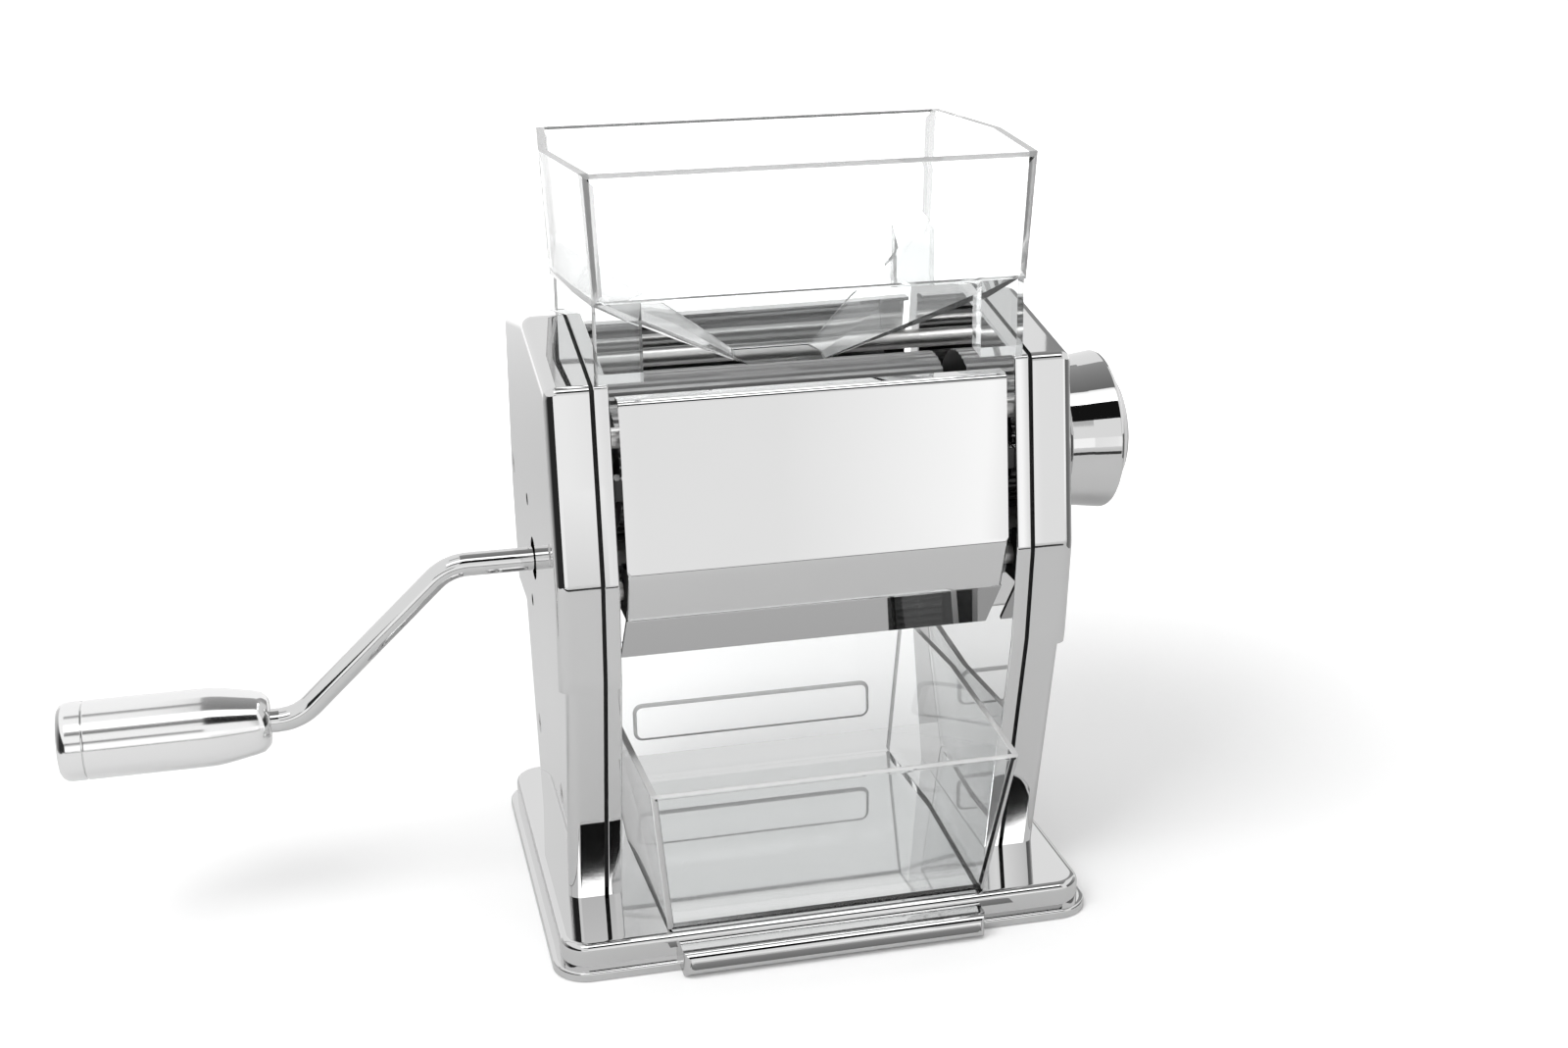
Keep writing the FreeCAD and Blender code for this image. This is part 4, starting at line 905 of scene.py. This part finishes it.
hopper = {"middle": -5,
          # each level: z, half width at the corners, half width at the middle, half depth
          "outer": [(305, 83.5, 90.5, 64), (258, 81.5, 88.5, 62), (238, 47, 49, 36), (221, 16, 18, 14)],
          "inner": [(306, 80.5, 87.5, 61), (259.4, 78.6, 85.4, 59.2), (239.2, 44.6, 46.6, 33.8),
                    (220, 13.4, 15.4, 11.4)],
          "postSpan": (63.5, 80.0), "postFront": -65.0, "postDeep": 10.0, "postLow": 225.0, "postTop": 261.0,
          "postGap": 0.1, "edge": 0.9, "corner": 4.0, "rim": 1.3, "smooth": 30}


def sixSided(name, levels, middle):
    # drawn through its levels from a six-sided face, made with a radius of 1
    hexWide, hexDeep = 0.5, math.sin(math.pi / 3)
    z, wide, broad, deep = levels[0]
    letGo()
    bpy.ops.mesh.primitive_circle_add(vertices=6, radius=1, fill_type="NGON", rotation=(0, 0, math.pi / 6))
    piece = settle(name)
    piece.scale = (wide * mm / hexWide, deep * mm / hexDeep, 1)
    piece.location = (0, middle * mm, z * mm)
    piece = settle(name)
    shape(piece)
    spreadMiddles(z, 2 * wide, broad, middle)
    pick("FACE", lambda at, normal: True)
    for nextZ, nextWide, nextBroad, nextDeep in levels[1:]:
        pull(0, 0, nextZ - z)
        grow = (nextWide / wide, nextDeep / deep, 1)
        bpy.ops.transform.resize(value=grow, center_override=(0, middle * mm, nextZ * mm))
        spreadMiddles(nextZ, broad * grow[0], nextBroad, middle)
        pick("FACE", lambda at, normal: near(at.z, nextZ))
        z, wide, broad, deep = nextZ, nextWide, nextBroad, nextDeep
    leave()
    turnOut(piece)
    return piece


def spreadMiddles(z, now, wanted, middle):
    # moves the two corners at the middle of the sides to their own half width
    for side in (-1, 1):
        pick("VERT", lambda p: near(p.z, z) and near(p.y, middle, slack=0.5) and p.x * side > 0)
        bpy.ops.transform.translate(value=(side * (wanted - now) * mm, 0, 0))


def onCorner(p, slack=0.3, below=0.01):
    # on one of the upright outer corners of the box
    top, floor = hopper["outer"][:2]
    share = (p.z - floor[0]) / (top[0] - floor[0])
    wide = floor[1] + (top[1] - floor[1]) * share
    deep = floor[3] + (top[3] - floor[3]) * share
    away = math.hypot(abs(p.x) - wide, abs(p.y - hopper["middle"]) - deep)
    return share > -below and away < slack


def onHopperRim(middle, normal, upward=0.1):
    return normal.z > upward and middle.z > hopper["outer"][0][0] - hopper["rim"]


def onHopperCorner(middle, normal):
    return onCorner(middle, hopper["corner"]) and not onHopperRim(middle, normal)


def onPost(middle, normal, slack=0.2, under=1):
    inner = hopper["postSpan"][0] - slack
    outer = hopper["middle"] - hopper["postFront"] - hopper["postDeep"] - slack
    low = hopper["outer"][1][0] - under
    return middle.z < low and abs(middle.x) > inner and abs(middle.y - hopper["middle"]) > outer


def makeHopper():
    piece = sixSided("hopperClear", hopper["outer"], hopper["middle"])
    roundEdges(piece, lambda a, b: onCorner(a) and onCorner(b), hopper["corner"], rings=5)
    (x0, x1), front, deep = hopper["postSpan"], hopper["postFront"], hopper["postDeep"]
    back = 2 * hopper["middle"] - front
    ridge = sideLine[0][1]
    eaveHalf, eave = sideLine[1]
    for low, high in ((x0, x1), (-x1, -x0)):
        for y0, y1 in ((front, front + deep), (back - deep, back)):
            post = block("post", (low, y0, hopper["postLow"]), (high, y1, hopper["postTop"]))
            lean = Vector((0, math.copysign(ridge - eave, y0), eaveHalf))
            middle = (y0 + y1) / 2
            roof = ridge + (eave - ridge) * abs(middle) / eaveHalf
            cutAway(post, [((0, middle, roof + hopper["postGap"]), -lean.normalized())])
            combine(piece, post, "UNION")
    combine(piece, sixSided("room", hopper["inner"], hopper["middle"]), "DIFFERENCE")
    roundEdges(piece, edgesAt(z=hopper["outer"][0][0]), hopper["rim"], rings=4)
    soften(piece, hopper["edge"], rings=3, angle=25)
    return piece


hopperClear = makeHopper()
polish(hopperClear, hopper["smooth"])
fit(hopperClear, "hopper", clearPlastic, "hopper")
# painted shade on the hopper's rim and upright corners
paint(hopperClear, clearRim, onHopperRim)
paint(hopperClear, clearCorner, onHopperCorner)
# painted shade on the posts
paint(hopperClear, clearPost, onPost)
print("hopper done")

tray = {"low": 14.0, "top": 80.0,
        # y at the rim and at the floor, then the half width there
        "front": (-97, -80), "back": (60, 56), "side": (71.5, 64.0),
        "bulge": 3.5, "middle": -5, "wall": 2.5, "blankLow": (-90, -110), "blankHigh": (90, 80),
        "roomOver": 6.0, "recess": (54.0, 32.5, 49.5), "recessDeep": 1.4, "recessCorner": 4.0,
        "recessReach": 12.0, "edge": 0.8, "corner": 2.0, "smooth": 30}


def trayCuts(inset):
    # planes through the leaning walls, set in by the inset
    low, top = tray["low"], tray["top"]
    heart = Vector((0, tray["middle"], (low + top) / 2))
    cuts = []

    def wallThrough(a, b, c):
        a, b, c = Vector(a), Vector(b), Vector(c)
        facing = (b - a).cross(c - a).normalized()
        if facing.dot(a - heart) < 0:
            facing = -facing
        cuts.append((a - facing * inset, facing))

    for rim, foot in (tray["front"], tray["back"]):
        wallThrough((0, rim, top), (1, rim, top), (0, foot, low))
    for side in (-1, 1):
        wide, narrow = tray["side"]
        for rim, foot in (tray["front"], tray["back"]):
            wallThrough((side * wide, rim, top), (side * (wide + tray["bulge"]), tray["middle"], top),
                        (side * narrow, foot, low))
    return cuts


def onTrayCorner(p, slack=0.3):
    # on one of the upright outer corners of the tray
    share = (p.z - tray["low"]) / (tray["top"] - tray["low"])
    rim, foot = tray["front"] if p.y < tray["middle"] else tray["back"]
    wide, narrow = tray["side"]
    away = math.hypot(abs(p.x) - narrow - (wide - narrow) * share, p.y - foot - (rim - foot) * share)
    return away < slack


def backLean():
    # the way the back wall faces
    rim, foot = tray["back"]
    return Vector((0, tray["top"] - tray["low"], foot - rim)).normalized()


def onRecess(middle, normal, slack=1, alike=0.97):
    # the step round the grip recess in the back wall
    half, low, high = tray["recess"]
    inside = abs(middle.x) < half + slack and low - slack < middle.z < high + slack
    behind = middle.y > tray["back"][1] - tray["wall"]
    return inside and behind and abs(normal.dot(backLean())) < alike


def onTrayRim(middle, normal, slack=1, upward=0.5):
    rim = normal.z > upward and middle.z > tray["top"] - slack
    return rim or onTrayCorner(middle, tray["corner"]) or onRecess(middle, normal)


def makeTray():
    blankLow, blankHigh = tray["blankLow"], tray["blankHigh"]
    piece = block("trayClear", blankLow + (tray["low"],), blankHigh + (tray["top"],))
    cutAway(piece, trayCuts(0))
    roundEdges(piece, lambda a, b: onTrayCorner(a) and onTrayCorner(b), tray["corner"], rings=4)
    floor, over = tray["low"] + tray["wall"], tray["top"] + tray["roomOver"]
    room = block("room", blankLow + (floor,), blankHigh + (over,))
    cutAway(room, trayCuts(tray["wall"]))
    combine(piece, room, "DIFFERENCE")
    half, low, high = tray["recess"]
    back = tray["back"][0]
    reach = tray["recessReach"]
    cutter = block("recess", (-half, back - reach, low), (half, back + reach, high))
    cutAway(cutter, [((0, back - tray["recessDeep"], tray["top"]), -backLean())])
    roundEdges(cutter, lambda a, b: near(a.x, b.x) and abs(a.y - b.y) > reach / 2,
               tray["recessCorner"], rings=6)
    soften(cutter, tray["recessDeep"], rings=3, angle=50)
    combine(piece, cutter, "DIFFERENCE")
    soften(piece, tray["edge"], rings=3, angle=25)
    return piece


trayClear = makeTray()
polish(trayClear, tray["smooth"])
fit(trayClear, "tray", clearPlastic, "tray")
# painted shade on the tray's rim, upright corners and the step round its recess
paint(trayClear, trayRim, onTrayRim)
print("tray done")

# finishes for the solids that stay as they are

keptFinishes = [
    (rollerMetal, ["front_roller", "rear_roller", "lower_roller"]),
    (gearSteel, ["drive_gear", "front_gear", "rear_gear"]),
    (plainSteel, ["drive_gear_clip", "front_gear_clip", "rear_gear_clip", "carriage_bar", "tie_rods",
                  "tie_nuts", "base_screws", "adjust_spindle", "spindle_head", "knob_spring", "stop_pin",
                  "grip_retainer"]),
    (bushBrass, ["roller_bushes"]),
    (bearingBlack, ["left_bearing_block", "right_bearing_block"]),
    (padRubber, ["base_pad"])]
for finish, nodes in keptFinishes:
    for node in nodes:
        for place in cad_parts[node].material_slots:
            place.material = finish
print("kept solids finished")

# studio: pale floor, white round about, soft lamps, and cards that only the polished metal sees

studio = {"floor": 14.0, "floorTone": 0.80, "floorCloud": 0.02, "floorGlossTone": 0.63, "floorLift": 0.2,
          "floorShine": 0.05, "floorFade": (0.2, 0.9), "floorFar": (0.5, 2.0), "skyLight": 0.4,
          # each lamp: name, place, size and power
          "lamps": [("keyLamp", (-0.9, -0.6, 1.4), 0.9, 18.0), ("topLamp", (0.1, 0.2, 1.9), 1.5, 11.0),
                    ("sideLamp", (1.3, -0.5, 0.9), 0.8, 1.9)],
          "aim": (0, 0, 0.14),
          # each card: name, low corner, high corner, the way it runs, its glow from low to high
          "cards": [
              ("frontDark", (-0.28, -1.6, 1.05), (1.3, -1.6, 2.3), "Z", [(0, 0.01), (1, 0.01)]),
              ("gripDark", (-0.9, -1.6, 1.4), (-0.28, -1.6, 2.0), "Z", [(0, 0.12), (1, 0.4)]),
              ("gripStripe", (-0.9, -1.6, 0.42), (-0.28, -1.6, 0.62), "Z", [(0, 0.45), (1, 0.15)]),
              ("gripLine", (-0.9, 0.1, 2.2), (-0.35, 0.45, 2.2), "Y", [(0, 0.6), (1, 0.25)]),
              ("frontBright", (-0.6, -1.0, 0.0), (0.8, -1.0, 0.24), "X",
               [(0.43, 1.2), (0.48, 1.08), (0.57, 1.1), (0.7, 1.37), (0.73, 1.06)]),
              ("topBright", (-1.2, -1.6, 2.3), (1.2, -0.6, 2.3), "Y", [(0, 3.0), (0.4, 2.4), (1, 1.0)]),
              ("overDark", (-0.35, -0.62, 2.2), (1.6, 1.4, 2.2), "Y", [(0, 0.2), (1, 0.4)]),
              ("backDark", (0.66, 1.2, 0.3), (1.6, 1.2, 2.1), "Z", [(0, 0.3), (1, 0.4)]),
              ("leftDark", (-0.6, -0.85, 0.0), (-0.6, 0.7, 0.3), "Y",
               [(0.48, 0.03), (0.65, 0.5), (1, 0.75)]),
              ("rightDark", (0.45, -0.32, 0.0), (0.45, 0.15, 0.2), "Y", [(0, 0.15), (0.6, 0.25), (1, 0.6)]),
              # painted reflections: lowDark and gripLow darken the floor before the mill, lipDark is a
              # painted shadow under the lip's front, trayGlow a painted glow inside the tray
              ("lowDark", (-0.5, -0.62, 0.003), (0.3, -0.5, 0.003), "Y", [(0, 0.04), (1, 0.08)]),
              ("gripLow", (-0.8, -0.85, 0.003), (-0.5, -0.5, 0.003), "Y", [(0, 0.04), (1, 0.08)]),
              ("lowLeft", (-0.2, -0.98, 0.0), (0.042, -0.98, 0.12), "Z", [(0, 0.85), (1, 1.2)]),
              ("lipDark", (-0.062, -0.12, 0.002), (0.08, -0.0965, 0.002), "Y", [(0, 0.5), (1, 0.2)]),
              ("knobGrey", (0.5, -1.6, 0.26), (1.3, -1.6, 1.05), "Z", [(0, 0.75), (1, 0.6)]),
              ("trayGlow", (-0.06, -0.075, 0.0185), (0.06, 0.05, 0.0185), "Y", [(0, 0.6), (1, 0.45)])]}


def rays(pen):
    # what looks straight or through clear plastic, and what looks by way of polished metal
    path = pen.node("LightPath", outlet="Is Camera Ray")
    outlets = path.socket.node.outputs
    straight = (path + Wire(pen.tree, outlets["Is Transmission Ray"])).least(1.0)
    shiny = Wire(pen.tree, outlets["Is Glossy Ray"]) * (1 - straight)
    return straight, shiny


def rise(pen, value, low, high):
    # from 0 at the low end to 1 at the high end, without a hard start
    return pen.node("MapRange", {"interpolation_type": "SMOOTHSTEP"},
                    {"Value": value, "From Min": low, "From Max": high})


def makeFloor():
    letGo()
    bpy.ops.mesh.primitive_plane_add(size=studio["floor"], location=(0, 0, 0))
    floor = settle("floor")
    finish, pen, place = newFinish("paleFloor")
    cloud = noise(pen, place, scale=3.0)
    tone = blended(pen, cloud, grey(studio["floorTone"]), grey(studio["floorTone"] + studio["floorCloud"]))
    apart = pen.node("VectorMath", {"operation": "LENGTH"}, {0: place}, outlet="Value")
    far = rise(pen, apart, *studio["floorFar"])
    fade = rise(pen, apart, *studio["floorFade"])
    straight, shiny = rays(pen)
    tone = blended(pen, shiny, tone, grey(studio["floorGlossTone"]))
    seen = fade + (1 - fade) * studio["floorLift"]
    shone = far + (1 - far) * studio["floorShine"]
    lift = straight * seen + shiny * shone
    lay(pen, {"Base Color": tone, "Roughness": 0.9, "Specular IOR Level": 0.0, "Emission Color": lift,
              "Emission Strength": 1.0})
    floor.data.materials.append(finish)


def makeSky():
    world = bpy.data.worlds.new("whiteRound")
    bpy.context.scene.world = world
    world.use_nodes = True
    world.node_tree.nodes.clear()
    pen = Wire(world.node_tree)
    straight, shiny = rays(pen)
    light = studio["skyLight"] + (straight + shiny) * (1 - studio["skyLight"])
    sky = pen.node("Background", {}, {"Color": grey(1.0), "Strength": light})
    pen.node("OutputWorld", {}, {"Surface": sky})


def makeLamps():
    for name, place, size, power in studio["lamps"]:
        letGo()
        bpy.ops.object.light_add(type="AREA", location=place)
        lamp = bpy.context.object
        lamp.name = name
        lamp.data.size = size
        lamp.data.energy = power
        lamp.visible_glossy = False
        aim = Vector(studio["aim"]) - Vector(place)
        lamp.rotation_euler = aim.to_track_quat("-Z", "Y").to_euler()


def makeCards():
    for name, low, high, way, stops in studio["cards"]:
        low, high = Vector(low), Vector(high)
        size = high - low
        flat = min(range(3), key=lambda axis: size[axis])
        letGo()
        bpy.ops.mesh.primitive_plane_add(size=1, location=(low + high) / 2)
        piece = bpy.context.object
        piece.scale = ((size.z, size.y, 1), (size.x, size.z, 1), (size.x, size.y, 1))[flat]
        piece.rotation_euler = ((0, math.pi / 2, 0), (math.pi / 2, 0, 0), (0, 0, 0))[flat]
        piece = settle(name)
        finish, pen, place = newFinish(name)
        run = "XYZ".index(way)
        along = pen.node("SeparateXYZ", {}, {0: place}, outlet=run)
        glow = pen.node("ValToRGB", {"stops": stops}, {"Fac": (along - low[run]) * (1 / size[run])})
        lay(pen, {"Base Color": grey(0.0), "Roughness": 1.0, "Specular IOR Level": 0.0,
                  "Emission Color": glow, "Emission Strength": 1.0})
        piece.data.materials.append(finish)
        piece.visible_camera = False
        piece.visible_shadow = False
        piece.visible_diffuse = False
        piece.visible_transmission = False


view = {"place": (-0.17915, -0.78212, 0.42094), "yaw": 0.2283, "pitch": 0.3277, "roll": -0.0143,
        "lens": 47.76, "film": 36.0}


def makeCamera():
    yaw, pitch, roll = view["yaw"], view["pitch"], view["roll"]
    ahead = Vector((math.sin(yaw) * math.cos(pitch), math.cos(yaw) * math.cos(pitch), -math.sin(pitch)))
    right = Vector((math.cos(yaw), -math.sin(yaw), 0))
    up = right.cross(ahead)
    across = right * math.cos(roll) + up * math.sin(roll)
    above = up * math.cos(roll) - right * math.sin(roll)
    turn = Matrix((across, above, -ahead)).transposed()
    letGo()
    bpy.ops.object.camera_add(location=view["place"], rotation=turn.to_euler())
    camera = bpy.context.object
    camera.data.lens = view["lens"]
    camera.data.sensor_width = view["film"]
    camera.data.sensor_fit = "HORIZONTAL"
    camera.data.clip_start = 0.01
    bpy.context.scene.camera = camera


makeFloor()
makeSky()
makeLamps()
makeCards()
makeCamera()
bpy.context.scene.view_settings.view_transform = "Standard"
print("studio ready")

letGo()
